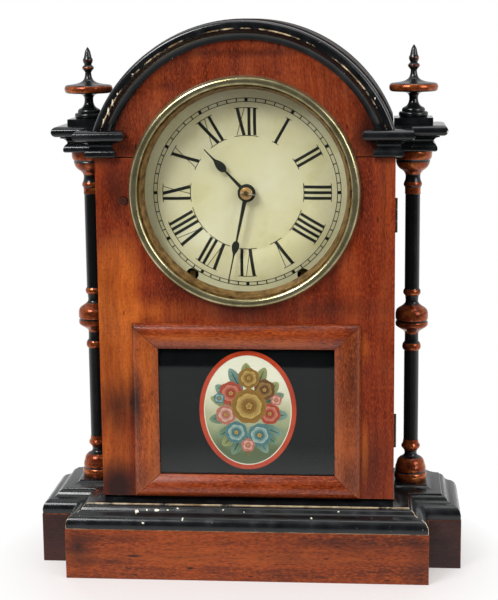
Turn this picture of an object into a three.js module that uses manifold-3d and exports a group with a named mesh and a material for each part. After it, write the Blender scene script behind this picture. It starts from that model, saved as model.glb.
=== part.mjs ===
// An arch-top shelf clock with free-standing turned columns, in millimetres, +Z up, front facing -Y.
// The origin is on the surface that the clock stands on, below the middle of its box.
// The case, the hinged door, the hands and motion work, the spring movement, the pendulum and the
// coiled gong are separate pieces.

import * as THREE from "three";
import { mergeVertices } from "three/addons/utils/BufferGeometryUtils.js";
import Module from "manifold-3d";

const wasm = await Module();
wasm.setup();

// ---------------------------------------------------------------------------------------------
// Driving dimensions
// ---------------------------------------------------------------------------------------------

// Clearances
const SEAT = 0.3; // between seated faces that are curved or slanted, and round a let-in plate
const RUN = 0.4; // round a turning or swinging piece
const OVERLAP = 0.4; // how far parts of one piece reach into each other

// Base
const BASE_MARGIN = 54.8; // how far the base stands out beside the case
const NOSE_MARGIN = 28.8; // the same for the forward part of the base
const NOSE_REACH = 38.3; // how far it stands in front of the side parts
const PLINTH_HEIGHT = 39.5;
const PLINTH_BOARD = 12;
const OGEE_HEIGHT = 16;
const OGEE_INSET = 14.6;
const OGEE_STRIP = 34; // width of the moulded lengths, front to back
const COVE_HEIGHT = 4.5;
const COVE_INSET = 11.5;

// Case
const CASE_WIDTH = 222.4;
const SIDE_BOARD = 9;
const BACKBOARD = 6;
const ARCH_CENTRE_RISE = 246.7; // arch centre above the platform
const ARCH_OVERHANG = 7.8; // outer edge of the arched moulding beyond the case side
const ARCH_MOULDING_WIDTH = 14.2;
const ARCH_MOULDING_REACH = 11.2;
const ARCH_RIDGE = 7.8; // inner edge of the arched moulding to its sharp ridge
const ROOF_RISE = 1; // how far the roof stands above the moulding
const ROOF_THICKNESS = 6;
const FASCIA_SETBACK = 0.8; // fascia edge inside the moulding's outer edge

// Entablature: the stepped blocks over the columns and at the feet of the arch
const ENTABLATURE_RISE = 265; // its underside above the platform
const ENTABLATURE_HEIGHT = 20.5;
const FRONT_BLOCK_INSET = 3.5; // its middle inside the case edge
const FRONT_BLOCK_NECK = 17.4;
const FRONT_BLOCK_REACH = 4;
const SIDE_BLOCK_NECK_WIDTH = 31; // case side to the outer face of the neck
const SIDE_BLOCK_NECK_DEPTH = 30.6;
const CAP_WIDTH = 29.8;
const CAP_HEIGHT = 5.2;
const FINIAL_HEIGHT = 55.3;

// Columns
const COLUMN_OUTSET = 15.7; // column axis beyond the case side
const COLUMN_SETBACK = 80.4; // axis behind the plinth front

// Door
const DOOR_OVERHANG = 1.8; // how far the door stands out beside the case
const DOOR_THICKNESS = 8;
const DOOR_SETBACK = 22.2; // door front behind the plinth front
const DOOR_LIFT = 0.8; // clear of the platform
const DOOR_TOP_GAP = 0.8; // clear of the fascia and the blocks
const PORT_RADIUS = 83; // round opening through door and fascia

// Bezel
const BEZEL_CENTRE_RISE = 238; // above the platform
const BEZEL_RADIUS = 87.5;
const BEZEL_LIP_RADIUS = 80.7;
const BEZEL_REACH = 6;
const BEZEL_GLASS = 1.6;
const SIGHT_RADIUS = 76.8; // rear, narrow end of the sight ring
const SIGHT_DEPTH = 11.6;

// Tablet
const TABLET_WIDTH = 175;
const TABLET_HEIGHT = 137.2;
const TABLET_FRAME = 19.8;
const TABLET_FRAME_FOOT = 17.8; // the bottom length is a little narrower
const TABLET_FRAME_REACH = 6.4;
const TABLET_GLASS = 2;
const TABLET_REBATE = 3; // glass hidden behind the frame on each side

// Hinges
const HINGE_LENGTH = 26;
const HINGE_MIDDLES = [53, 220]; // above the platform, lower and upper
const KNUCKLE_RADIUS = 1.6;
const HINGE_PIN_RADIUS = 0.7;
const HINGE_PLATE = 0.8;
const HINGE_LEAF_WIDTH = 9.6;

// Catch
const CATCH_OUTSET = 4.2; // its middle beyond the edge of the bezel
const CATCH_DROP = 6; // below the bezel centre
const CATCH_RADIUS = 3.3;

// Dial
const DIAL_CENTRE_RISE = 235.5; // above the platform
const DIAL_SETBACK = 24.6; // flat middle of the dial behind the door front
const DIAL_RADIUS = 84;
const DIAL_SHEET = 0.8;
const NUMERAL_BAND_START = 44;
const NUMERAL_BAND_END = 72.4;
const NUMERAL_BAND_RISE = 2;
const DIAL_EYE = 4.4;
const WINDING_SPREAD = 43; // winding arbors left and right of the middle
const WINDING_DROP = 63.3; // and below the dial centre
const WINDING_HOLE = 4.8;
const DIAL_BOARD = 6.4;
const DIAL_BOARD_PORT = 62;
const DIAL_BOARD_RISE = 130; // its lower edge above the platform

// Hands
const HOUR_HAND_LENGTH = 47;
const HOUR_BULB_AT = 29.5;
const HOUR_BULB_WIDTH = 7.2;
const MINUTE_HAND_LENGTH = 71.5;
const MINUTE_BULB_AT = 43;
const MINUTE_BULB_WIDTH = 5.4;
const HAND_SHEET = 0.7;
const HAND_STEM_WIDTH = 2;
const HAND_LAYER = 3; // hour hand to minute hand, face to face
const HOUR_HUB_RADIUS = 6.4;
const MINUTE_HUB_RADIUS = 5.6;
const WASHER_RADIUS = 4.8;
const TAPER_PIN_LENGTH = 12.3;
const TAPER_PIN_RADIUS = 0.7; // at its thick end
const TAPER_PIN_TILT = THREE.MathUtils.degToRad(8);
const TIME_SHOWN_MINUTES = 10 * 60 + 32;

// Motion work: 12 into 36 and 10 into 40 gives 1 to 12
const MOTION_CENTRES = 19.2;
const CANNON_TEETH = 12;
const MINUTE_WHEEL_TEETH = 36;
const MINUTE_PINION_TEETH = 10;
const HOUR_WHEEL_TEETH = 40;
const MINUTE_STUD_ANGLE = THREE.MathUtils.degToRad(40);
const MINUTE_STUD_RADIUS = 1.1;
const MINUTE_STUD_REACH = 7.6; // ahead of the front plate
const WHEEL_SHEET = 1.2;
const CENTRE_ARBOR_RADIUS = 1.6;
const HOUR_PIPE_WALL = 1;

// Movement
const PLATE_SETBACK = 34.8; // front plate behind the door front
const PLATE_SHEET = 1.6;
const PLATE_SPACE = 24.8; // between the plates
const PLATE_WIDTH = 122;
const PLATE_HEIGHT = 138;
const PLATE_DROP = 101.5; // lower edge below the dial centre
const PILLAR_RADIUS = 3;
const PILLAR_INSET = 6;
const PILLAR_TENON = 1.5;
const PLATE_FOOT_RADIUS = 3.8;
const COCK_WIDTH = 8; // suspension cock, slit for the spring
const COCK_SLIT = 1.2;
const MAINSPRING_TURNS = 5;
const MAINSPRING_STRIP = 0.8;
const MAINSPRING_WIDTH = 15;
const WINDING_ARBOR_RADIUS = 3;
const WINDING_SQUARE = 4.4;
const WINDING_SQUARE_REACH = 9.6; // ahead of the front plate
const GREAT_WHEEL_RADIUS = 29.5;
const GREAT_WHEEL_TEETH = 42;
const RATCHET_RADIUS = 9;
const RATCHET_TEETH = 18;
const CENTRE_WHEEL_RADIUS = 12;
const CENTRE_WHEEL_TEETH = 36;
const ESCAPE_RADIUS = 10;
const ESCAPE_TEETH = 36;
const ESCAPE_RISE = 15; // escape arbor above the dial centre
const VERGE_RISE = 30.5;
const PALLET_CLEAR = 1.6;

// Pendulum
const SUSPENSION_RISE = 43.5; // above the dial centre
const PENDULUM_LENGTH = 189;
const PENDULUM_SETBACK = 5; // rod behind the back plate
const ROD_RADIUS = 0.9;
const SUSPENSION_SPRING = 10; // free length below the cock
const SUSPENSION_SPRING_WIDTH = 4;
const RATING_NUT_RADIUS = 3;
const RATING_NUT_HEIGHT = 3.4;
const ROD_END = 7; // thread below the bob
const BOB_RADIUS = 25;
const BOB_THICKNESS = 9;
const BOB_GONG_GAP = 4.4; // bob to the gong's boss
const FORK_DROP = 30; // fork below the verge arbor

// Gong
const GONG_RISE = 68; // centre above the platform
const GONG_WIRE = 2.6;
const GONG_PITCH = 5;
const GONG_TURNS = 5;
const GONG_LEAD_RADIUS = 5;
const GONG_STANDOFF = 4.5; // wire centre ahead of the backboard
const GONG_BOSS = 16;
const GONG_FOOT_RADIUS = 15;
const GONG_FOOT = 2.8;

// Hammer
const HAMMER_ACROSS = -30;
const HAMMER_DROP = 98.5; // arbor below the dial centre
const HAMMER_STRIKE_RISE = 12; // head above the gong's centre
const HAMMER_HEAD_RADIUS = 4;
const HAMMER_HEAD_LENGTH = 8;
const HAMMER_REST_GAP = 2.4; // head to gong
const HAMMER_WIRE = 1;

// Facets
const ROUND = 44; // large rings and discs
const TURNED = 14; // columns and finials
const SMALL = 8; // arbors, studs and wires
const GONG_STEPS = 20; // straight steps in one turn of the gong

// ---------------------------------------------------------------------------------------------
// Places worked out from the driving dimensions
// ---------------------------------------------------------------------------------------------

// The depth is the stack from the plinth front to the back: door, movement, pendulum, gong, backboard.
const MOVEMENT_DEPTH = PLATE_SHEET + PLATE_SPACE + PLATE_SHEET;
const PENDULUM_DEPTH = PENDULUM_SETBACK + BOB_THICKNESS / 2 + BOB_GONG_GAP;
const GONG_DEPTH = GONG_WIRE + GONG_STANDOFF;
const BASE_DEPTH =
  DOOR_SETBACK + PLATE_SETBACK + MOVEMENT_DEPTH + PENDULUM_DEPTH + GONG_DEPTH + BACKBOARD;
const BASE_WIDTH = CASE_WIDTH + 2 * BASE_MARGIN;
const NOSE_WIDTH = CASE_WIDTH + 2 * NOSE_MARGIN;
const FRONT = -BASE_DEPTH / 2;
const BACK = BASE_DEPTH / 2;
const WING_FRONT = FRONT + NOSE_REACH;
const OGEE_TOP = PLINTH_HEIGHT + OGEE_HEIGHT;
const PLATFORM = OGEE_TOP + COVE_HEIGHT;

const DOOR_FRONT = FRONT + DOOR_SETBACK;
const DOOR_BACK = DOOR_FRONT + DOOR_THICKNESS;
const DOOR_WIDTH = CASE_WIDTH + 2 * DOOR_OVERHANG;
const CATCH_ACROSS = -BEZEL_RADIUS - CATCH_OUTSET;
const DOOR_BOTTOM = PLATFORM + DOOR_LIFT;
const ENTABLATURE = PLATFORM + ENTABLATURE_RISE;
const ENTABLATURE_TOP = ENTABLATURE + ENTABLATURE_HEIGHT;
const DOOR_TOP = ENTABLATURE - DOOR_TOP_GAP;

const CASE_FRONT = DOOR_BACK + RUN;
const CASE_EDGE = CASE_WIDTH / 2;
const CASE_INNER = CASE_EDGE - SIDE_BOARD;
const FRONT_BLOCK_CENTRE = CASE_EDGE - FRONT_BLOCK_INSET;
const SIDE_BLOCK_NECK_EDGE = CASE_EDGE + SIDE_BLOCK_NECK_WIDTH;
const BACKBOARD_FRONT = BACK - BACKBOARD;
const ARCH_CENTRE = PLATFORM + ARCH_CENTRE_RISE;
const ARCH_RADIUS = CASE_EDGE + ARCH_OVERHANG;
const ARCH_INNER = ARCH_RADIUS - ARCH_MOULDING_WIDTH;
const ROOF_RADIUS = ARCH_RADIUS + ROOF_RISE;
const ROOF_INNER = ROOF_RADIUS - ROOF_THICKNESS;

const COLUMN_ACROSS = CASE_EDGE + COLUMN_OUTSET;
const COLUMN_Y = FRONT + COLUMN_SETBACK;

const BEZEL_CENTRE = PLATFORM + BEZEL_CENTRE_RISE;
const BEZEL_BACK = DOOR_FRONT - SEAT;
const TABLET_BOTTOM = DOOR_BOTTOM + 0.2;
const TABLET_TOP = TABLET_BOTTOM + TABLET_HEIGHT;
const TABLET_EDGE = TABLET_WIDTH / 2;

const DIAL_CENTRE = PLATFORM + DIAL_CENTRE_RISE;
const DIAL_FACE = DOOR_FRONT + DIAL_SETBACK;
const DIAL_BOARD_FRONT = DIAL_FACE + DIAL_SHEET + RUN;

const PLATE_FRONT = DOOR_FRONT + PLATE_SETBACK;
const PLATE_INNER = PLATE_FRONT + PLATE_SHEET;
const BACK_PLATE = PLATE_INNER + PLATE_SPACE;
const BACK_PLATE_REAR = BACK_PLATE + PLATE_SHEET;
const PLATE_BOTTOM = DIAL_CENTRE - PLATE_DROP;
const PLATE_TOP = PLATE_BOTTOM + PLATE_HEIGHT;
const WINDING_Z = DIAL_CENTRE - WINDING_DROP;
const VERGE_Z = DIAL_CENTRE + VERGE_RISE;
const ESCAPE_Z = DIAL_CENTRE + ESCAPE_RISE;
const SUSPENSION_Z = DIAL_CENTRE + SUSPENSION_RISE;
const PENDULUM_Y = BACK_PLATE_REAR + PENDULUM_SETBACK;
const BOB_Z = SUSPENSION_Z - PENDULUM_LENGTH;
const GONG_Z = PLATFORM + GONG_RISE;
const GONG_Y = BACKBOARD_FRONT - GONG_STANDOFF;
const HAMMER_Z = DIAL_CENTRE - HAMMER_DROP;

// ---------------------------------------------------------------------------------------------
// Finishes
// ---------------------------------------------------------------------------------------------

const finish = (color, roughness, metalness) =>
  new THREE.MeshStandardMaterial({ color, roughness, metalness });

const VENEER = finish("#8a3a1c", 0.4, 0);
const EBONISED = finish("#1e2022", 0.35, 0);
const DARK_WOOD = finish("#3a2018", 0.55, 0);
const PINE = finish("#a07a4c", 0.7, 0);
const BRASS = finish("#8c8450", 0.35, 1);
const GILT = finish("#8f4a20", 0.35, 1);
const STEEL = finish("#6f7478", 0.35, 1);
const BLUED_STEEL = finish("#2c302c", 0.35, 1);
const DIAL_ENAMEL = finish("#d6d3ad", 0.5, 0);
const TABLET_PAINT = finish("#1c1e20", 0.1, 0);
const CLEAR_GLASS = new THREE.MeshStandardMaterial({
  color: "#dfe8e4",
  roughness: 0.05,
  metalness: 0,
  transparent: true,
  opacity: 0.25,
});

// ---------------------------------------------------------------------------------------------
// Solids
// ---------------------------------------------------------------------------------------------

// A closed geometry as a solid, with shared corners merged and its faces turned outwards.
function solid(geometry) {
  const bare = new THREE.BufferGeometry();
  const flat = geometry.index ? geometry.toNonIndexed() : geometry;
  bare.setAttribute("position", flat.getAttribute("position"));
  const merged = mergeVertices(bare, 1e-4);
  const index = merged.index.array;
  const corners = [];
  for (let i = 0; i < index.length; i += 3) {
    const [a, b, c] = [index[i], index[i + 1], index[i + 2]];
    if (a !== b && b !== c && c !== a) corners.push(a, b, c);
  }
  const build = (order) =>
    new wasm.Manifold(
      new wasm.Mesh({
        numProp: 3,
        vertProperties: merged.attributes.position.array,
        triVerts: new Uint32Array(order),
      }),
    );
  const made = build(corners);
  if (made.volume() >= 0) return made;
  for (let i = 0; i < corners.length; i += 3) {
    const second = corners[i + 1];
    corners[i + 1] = corners[i + 2];
    corners[i + 2] = second;
  }
  return build(corners);
}

// A solid as the geometry of a mesh.
function geometryOf(body) {
  const mesh = body.getMesh();
  const geometry = new THREE.BufferGeometry();
  geometry.setAttribute("position", new THREE.BufferAttribute(mesh.vertProperties, 3));
  geometry.setIndex(new THREE.BufferAttribute(mesh.triVerts, 1));
  geometry.computeVertexNormals();
  return geometry;
}

// A box between two corners.
function box([x0, x1], [y0, y1], [z0, z1]) {
  const geometry = new THREE.BoxGeometry(x1 - x0, y1 - y0, z1 - z0);
  geometry.translate((x0 + x1) / 2, (y0 + y1) / 2, (z0 + z1) / 2);
  return solid(geometry);
}

// An outline drawn across (x) and up (z), carried from y0 to y1.
function slabY(shape, y0, y1, curveSegments = 8) {
  const options = { depth: y1 - y0, bevelEnabled: false, curveSegments };
  const geometry = new THREE.ExtrudeGeometry(shape, options);
  geometry.rotateX(Math.PI / 2);
  geometry.translate(0, y1, 0);
  return solid(geometry);
}

// An outline drawn along y and up, carried from x0 to x1.
function slabX(shape, x0, x1) {
  const geometry = new THREE.ExtrudeGeometry(shape, { depth: x1 - x0, bevelEnabled: false });
  const turn = new THREE.Matrix4().set(0, 0, 1, x0, 1, 0, 0, 0, 0, 1, 0, 0, 0, 0, 0, 1);
  geometry.applyMatrix4(turn);
  return solid(geometry);
}

const outline = (points) => new THREE.Shape(points.map(([a, b]) => new THREE.Vector2(a, b)));

// A profile of (radius, height) points turned about Z.
function turnedZ(points, sides = TURNED) {
  const geometry = new THREE.LatheGeometry(
    points.map(([r, h]) => new THREE.Vector2(r, h)),
    sides,
  );
  geometry.rotateX(Math.PI / 2);
  return solid(geometry);
}

// A closed profile of (radius, y) points turned about Y.
function turnedY(points, sides = ROUND) {
  const loop = [...points, points[0]];
  return solid(
    new THREE.LatheGeometry(
      loop.map(([r, y]) => new THREE.Vector2(r, y)),
      sides,
    ),
  );
}

// A round rod along Y at (x, z).
function rodY(radius, x, z, y0, y1, sides = SMALL) {
  const geometry = new THREE.CylinderGeometry(radius, radius, y1 - y0, sides);
  geometry.translate(x, (y0 + y1) / 2, z);
  return solid(geometry);
}

// A round rod along Z at (x, y).
function rodZ(radius, x, y, z0, z1, sides = SMALL) {
  const geometry = new THREE.CylinderGeometry(radius, radius, z1 - z0, sides);
  geometry.rotateX(Math.PI / 2);
  geometry.translate(x, y, (z0 + z1) / 2);
  return solid(geometry);
}

// A round wire through points.
function wire(points, radius, steps, sides = 6) {
  const section = new THREE.Shape();
  section.absarc(0, 0, radius, 0, 2 * Math.PI);
  const path = new THREE.CatmullRomCurve3(points.map((p) => new THREE.Vector3(...p)));
  const options = { steps, extrudePath: path, bevelEnabled: false, curveSegments: sides / 2 };
  return solid(new THREE.ExtrudeGeometry(section, options));
}

// A moulded block: its profile is (reach, height) from a nominal face, bottom to top, run round the
// named sides and mitred at the corners.
function mouldedBlock(profile, [x0, x1], [y0, y1], sides) {
  const reachOf = (side) => (sides.includes(side) ? 1 : 0);
  const wall = (nominal, outward, side) =>
    profile.map(([reach, z]) => [nominal + outward * reach * reachOf(side), z]);
  const face = (low, high, lowSide, highSide) =>
    outline([...wall(low, -1, lowSide), ...wall(high, 1, highSide).reverse()]);
  const spread = Math.max(...profile.map(([reach]) => Math.abs(reach))) + 1;
  const across = slabY(face(x0, x1, "left", "right"), y0 - spread, y1 + spread);
  const along = slabX(face(y0, y1, "front", "back"), x0 - spread, x1 + spread);
  return across.intersect(along);
}

const scaled = (points, factor) => points.map(([a, b]) => [a * factor, b * factor]);

// Points of a path made of straight runs and curves.
function trace(draw, divisions = 4) {
  const path = new THREE.Path();
  draw(path);
  return path.getPoints(divisions).map((p) => [p.x, p.y]);
}

// ---------------------------------------------------------------------------------------------
// Assembly
// ---------------------------------------------------------------------------------------------

const clock = new THREE.Group();

function addPiece(name, body, material, place = [0, 0, 0], parent = clock) {
  const mesh = new THREE.Mesh(geometryOf(body), material.clone());
  mesh.name = name;
  mesh.position.set(...place);
  parent.add(mesh);
  return mesh;
}

const mirrored = (body) => body.mirror([1, 0, 0]);

// A pair of pieces, the right one as drawn and the left one its mirror image.
function addPair(stem, body, material, across = 0, y = 0, z = 0) {
  addPiece(`${stem}_right`, body, material, [across, y, z]);
  addPiece(`${stem}_left`, mirrored(body), material, [-across, y, z]);
}

// ---- Base -----------------------------------------------------------------------------------

const WING_EDGE = BASE_WIDTH / 2;
const NOSE_EDGE = NOSE_WIDTH / 2;

function baseBoards() {
  const height = [0, PLINTH_HEIGHT];
  const front = box([-NOSE_EDGE, NOSE_EDGE], [FRONT, FRONT + PLINTH_BOARD], height);
  addPiece("base_front_board", front, VENEER);

  const cheekBack = WING_FRONT + PLINTH_BOARD;
  const cheekInner = NOSE_EDGE - PLINTH_BOARD;
  const cheek = box([cheekInner, NOSE_EDGE], [FRONT + PLINTH_BOARD, cheekBack], height);
  const wingFace = box([cheekInner, WING_EDGE], [WING_FRONT, cheekBack], height);
  const wingSide = box([WING_EDGE - PLINTH_BOARD, WING_EDGE], [WING_FRONT, BACK], height);
  addPair("base_side", cheek.add(wingFace).add(wingSide), VENEER);

  const railEdge = WING_EDGE - PLINTH_BOARD;
  const railY = [BACK - PLINTH_BOARD, BACK];
  const rail = box([-railEdge, railEdge], railY, height);
  const tongueEdge = WING_EDGE - OGEE_STRIP;
  const tongue = box([-tongueEdge, tongueEdge], railY, [PLINTH_HEIGHT, OGEE_TOP]);
  addPiece("base_rear_rail", rail.add(tongue), PINE);
}

// The black ogee: a full round belly low down, a hollow above it and a small roll at the top.
function ogeeProfile() {
  const out = (share) => -OGEE_INSET * share;
  const up = (share) => PLINTH_HEIGHT + OGEE_HEIGHT * share;
  return trace((path) => {
    path.moveTo(out(0.04), up(0));
    path.bezierCurveTo(out(-0.03), up(0.29), out(0.08), up(0.57), out(0.35), up(0.65));
    path.quadraticCurveTo(out(0.64), up(0.68), out(0.74), up(0.8));
    path.quadraticCurveTo(out(0.8), up(0.97), out(1), up(1));
  });
}

function baseMouldings() {
  const profile = ogeeProfile();
  const around = ["left", "right", "front"];
  const nose = mouldedBlock(profile, [-NOSE_EDGE, NOSE_EDGE], [FRONT, BACK], around);
  const wings = mouldedBlock(profile, [-WING_EDGE, WING_EDGE], [WING_FRONT, BACK], around);
  const high = [PLINTH_HEIGHT - 1, OGEE_TOP + 1];
  const strip = OGEE_STRIP;
  const noseWell = box([strip - NOSE_EDGE, NOSE_EDGE - strip], [FRONT + strip, BACK + 1], high);
  const wellX = [strip - WING_EDGE, WING_EDGE - strip];
  const wingWell = box(wellX, [WING_FRONT + strip, BACK + 1], high);
  const frame = nose.add(wings).subtract(noseWell).subtract(wingWell);

  const joint = WING_FRONT;
  const frontPart = box([-WING_EDGE, WING_EDGE], [FRONT - 1, joint], high);
  const rearPart = box([0, WING_EDGE + 1], [joint, BACK], high);
  addPiece("ogee_moulding_front", frame.intersect(frontPart), EBONISED);
  addPair("ogee_moulding", frame.intersect(rearPart), EBONISED);
}

// The board that the case and the columns stand on, with a shallow hollow round its edge.
function platformBoard() {
  const profile = trace((path) => {
    path.moveTo(0, OGEE_TOP);
    path.lineTo(-0.6, OGEE_TOP + 0.9);
    const hollow = [-COVE_INSET * 0.75, OGEE_TOP + 1.3];
    path.quadraticCurveTo(...hollow, -COVE_INSET, PLATFORM - 0.9);
    path.lineTo(-COVE_INSET, PLATFORM);
  });
  const around = ["left", "right", "front"];
  const noseEdge = NOSE_EDGE - OGEE_INSET;
  const wingEdge = WING_EDGE - OGEE_INSET;
  const nose = mouldedBlock(profile, [-noseEdge, noseEdge], [FRONT + OGEE_INSET, BACK], around);
  const wingY = [WING_FRONT + OGEE_INSET, BACK];
  const wings = mouldedBlock(profile, [-wingEdge, wingEdge], wingY, around);
  addPiece("platform_board", nose.add(wings), EBONISED);
}

// ---- Case -----------------------------------------------------------------------------------

// A full ring about the arch centre, drawn as (radius, y).
const archRing = (profile) => turnedY(profile, ROUND + 16).translate([0, 0, ARCH_CENTRE]);

function caseBox() {
  const side = box([CASE_INNER, CASE_EDGE], [CASE_FRONT, BACK], [PLATFORM, ENTABLATURE_TOP]);
  addPair("case_side", side, DARK_WOOD);

  const roofProfile = [
    [ROOF_INNER, CASE_FRONT],
    [ROOF_RADIUS, CASE_FRONT],
    [ROOF_RADIUS, BACK],
    [ROOF_INNER, BACK],
  ];
  const above = [ENTABLATURE_TOP, ARCH_CENTRE + ROOF_RADIUS + 1];
  const kept = box([-CASE_EDGE, CASE_EDGE], [CASE_FRONT, BACK], above);
  addPiece("case_roof", archRing(roofProfile).intersect(kept), DARK_WOOD);

  const board = archBoard(CASE_INNER, ROOF_INNER - SEAT, PLATFORM, BACKBOARD_FRONT, BACK);
  addPiece("backboard", board, PINE);
}

// A board with straight sides and an arched head.
function archBoard(edge, radius, bottom, y0, y1) {
  const disc = rodY(radius, 0, ARCH_CENTRE, y0, y1, ROUND);
  const panel = box([-edge, edge], [y0, y1], [bottom, ARCH_CENTRE + radius + 1]);
  const shoulders = box([-edge, edge], [y0, y1], [bottom, ARCH_CENTRE]);
  return panel.intersect(disc).add(shoulders);
}

function archFront() {
  const edge = ARCH_RADIUS - FASCIA_SETBACK;
  const board = rodY(edge, 0, ARCH_CENTRE, DOOR_FRONT, CASE_FRONT, ROUND + 16);
  const kept = box(
    [-CASE_EDGE, CASE_EDGE],
    [DOOR_FRONT, CASE_FRONT],
    [ENTABLATURE, ARCH_CENTRE + edge + 1],
  );
  const port = rodY(PORT_RADIUS, 0, BEZEL_CENTRE, DOOR_FRONT - 1, CASE_FRONT + 1, ROUND);
  addPiece("arch_fascia", board.intersect(kept).subtract(port), VENEER);

  const reach = ARCH_MOULDING_REACH;
  const ridge = ARCH_INNER + ARCH_RIDGE;
  // A hollow rises to the ridge; behind the ridge a round falls away to the outer edge.
  const section = trace((path) => {
    path.moveTo(ARCH_INNER, 0);
    path.lineTo(ARCH_INNER, -2);
    path.quadraticCurveTo(ridge - 1.4, -3.4, ridge, -reach);
    path.lineTo(ridge + 0.9, -reach);
    path.lineTo(ridge + 1.1, -reach + 1.4);
    path.quadraticCurveTo(ARCH_RADIUS, -reach + 0.4, ARCH_RADIUS, -reach * 0.45);
    path.lineTo(ARCH_RADIUS, 0);
  });
  const profile = section.map(([r, y]) => [r, y + DOOR_FRONT]);
  const below = box(
    [-ARCH_RADIUS - 1, ARCH_RADIUS + 1],
    [DOOR_FRONT - reach - 1, DOOR_FRONT + 1],
    [ARCH_CENTRE - ARCH_RADIUS - 1, ENTABLATURE_TOP],
  );
  addPiece("arch_moulding", archRing(profile).subtract(below), EBONISED);
}

// The entablature section: a small roll, a hollow neck, a step and a large roll. It is drawn at the
// height of ENTABLATURE_DRAWN and brought to the real one.
const ENTABLATURE_DRAWN = 20.5;
function entablatureProfile(swell = 0) {
  const path = trace((p) => {
    p.moveTo(1.4, 0);
    p.quadraticCurveTo(3.4, 0.4, 2.8, 3.2);
    p.quadraticCurveTo(2.2, 5.2, 0.7, 6.4);
    p.lineTo(0, 6.8);
    p.lineTo(0, 8);
    p.quadraticCurveTo(0.6, 10.6, 4.5, 11.2);
    p.lineTo(4.5, 12.3);
    p.absarc(6.7, 16.3, 4, -Math.PI / 2, Math.PI / 2, false);
    p.lineTo(5, ENTABLATURE_DRAWN);
  });
  return scaled(path, ENTABLATURE_HEIGHT / ENTABLATURE_DRAWN).map(([reach, z]) => [
    reach + swell,
    z + ENTABLATURE,
  ]);
}

function entablature() {
  const sideX = [CASE_EDGE, SIDE_BLOCK_NECK_EDGE];
  const sideY = [COLUMN_Y - SIDE_BLOCK_NECK_DEPTH / 2, COLUMN_Y + SIDE_BLOCK_NECK_DEPTH / 2];
  const outer = ["right", "front", "back"];
  const side = mouldedBlock(entablatureProfile(), sideX, sideY, outer);
  addPair("side_entablature", side, EBONISED);

  const neckHalf = FRONT_BLOCK_NECK / 2;
  const neckX = [FRONT_BLOCK_CENTRE - neckHalf, FRONT_BLOCK_CENTRE + neckHalf];
  const neckY = [DOOR_FRONT - FRONT_BLOCK_REACH, sideY[0]];
  const swollen = mouldedBlock(entablatureProfile(SEAT), sideX, sideY, outer);
  const cornerHigh = [ENTABLATURE - 1, ENTABLATURE_TOP + 1];
  const caseCorner = box([0, CASE_EDGE], [DOOR_FRONT, BACK], cornerHigh);
  const full = mouldedBlock(entablatureProfile(), neckX, neckY, ["left", "right", "front"]);
  addPair("front_block", full.subtract(swollen).subtract(caseCorner), EBONISED);

  const cap = box(
    [-CAP_WIDTH / 2, CAP_WIDTH / 2],
    [-CAP_WIDTH / 2, CAP_WIDTH / 2],
    [0, CAP_HEIGHT],
  );
  addPair("cap_block", cap, EBONISED, COLUMN_ACROSS, COLUMN_Y, ENTABLATURE_TOP);
}

// A finial: stepped foot, waisted stem, flat disc, slim neck with a ring and a pointed bud. Its
// profile is drawn at the height of FINIAL_DRAWN.
const FINIAL_DRAWN = 55.3;
function finial() {
  const profile = trace((path) => {
    path.moveTo(0, 0);
    path.lineTo(10.4, 0);
    path.quadraticCurveTo(11.8, 2, 10.4, 4.1);
    path.lineTo(8.6, 4.4);
    path.quadraticCurveTo(9.4, 6, 7.4, 7.6);
    path.quadraticCurveTo(3.6, 9.6, 3.4, 14.6);
    path.quadraticCurveTo(3.4, 18, 8, 19.3);
    path.lineTo(17.4, 19.7);
    path.quadraticCurveTo(20.2, 22.8, 17.4, 26);
    path.quadraticCurveTo(7, 26.8, 4.4, 29.2);
    path.quadraticCurveTo(2.6, 31.2, 2.6, 35.4);
    path.lineTo(4.6, 39.4);
    path.lineTo(2.9, 41.7);
    path.lineTo(3.9, 44.4);
    path.quadraticCurveTo(3.4, 47.4, 2.2, 51);
    path.lineTo(0, FINIAL_DRAWN);
  }, 2);
  const body = turnedZ(scaled(profile, FINIAL_HEIGHT / FINIAL_DRAWN));
  addPair("finial", body, EBONISED, COLUMN_ACROSS, COLUMN_Y, ENTABLATURE_TOP + CAP_HEIGHT);
}

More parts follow.
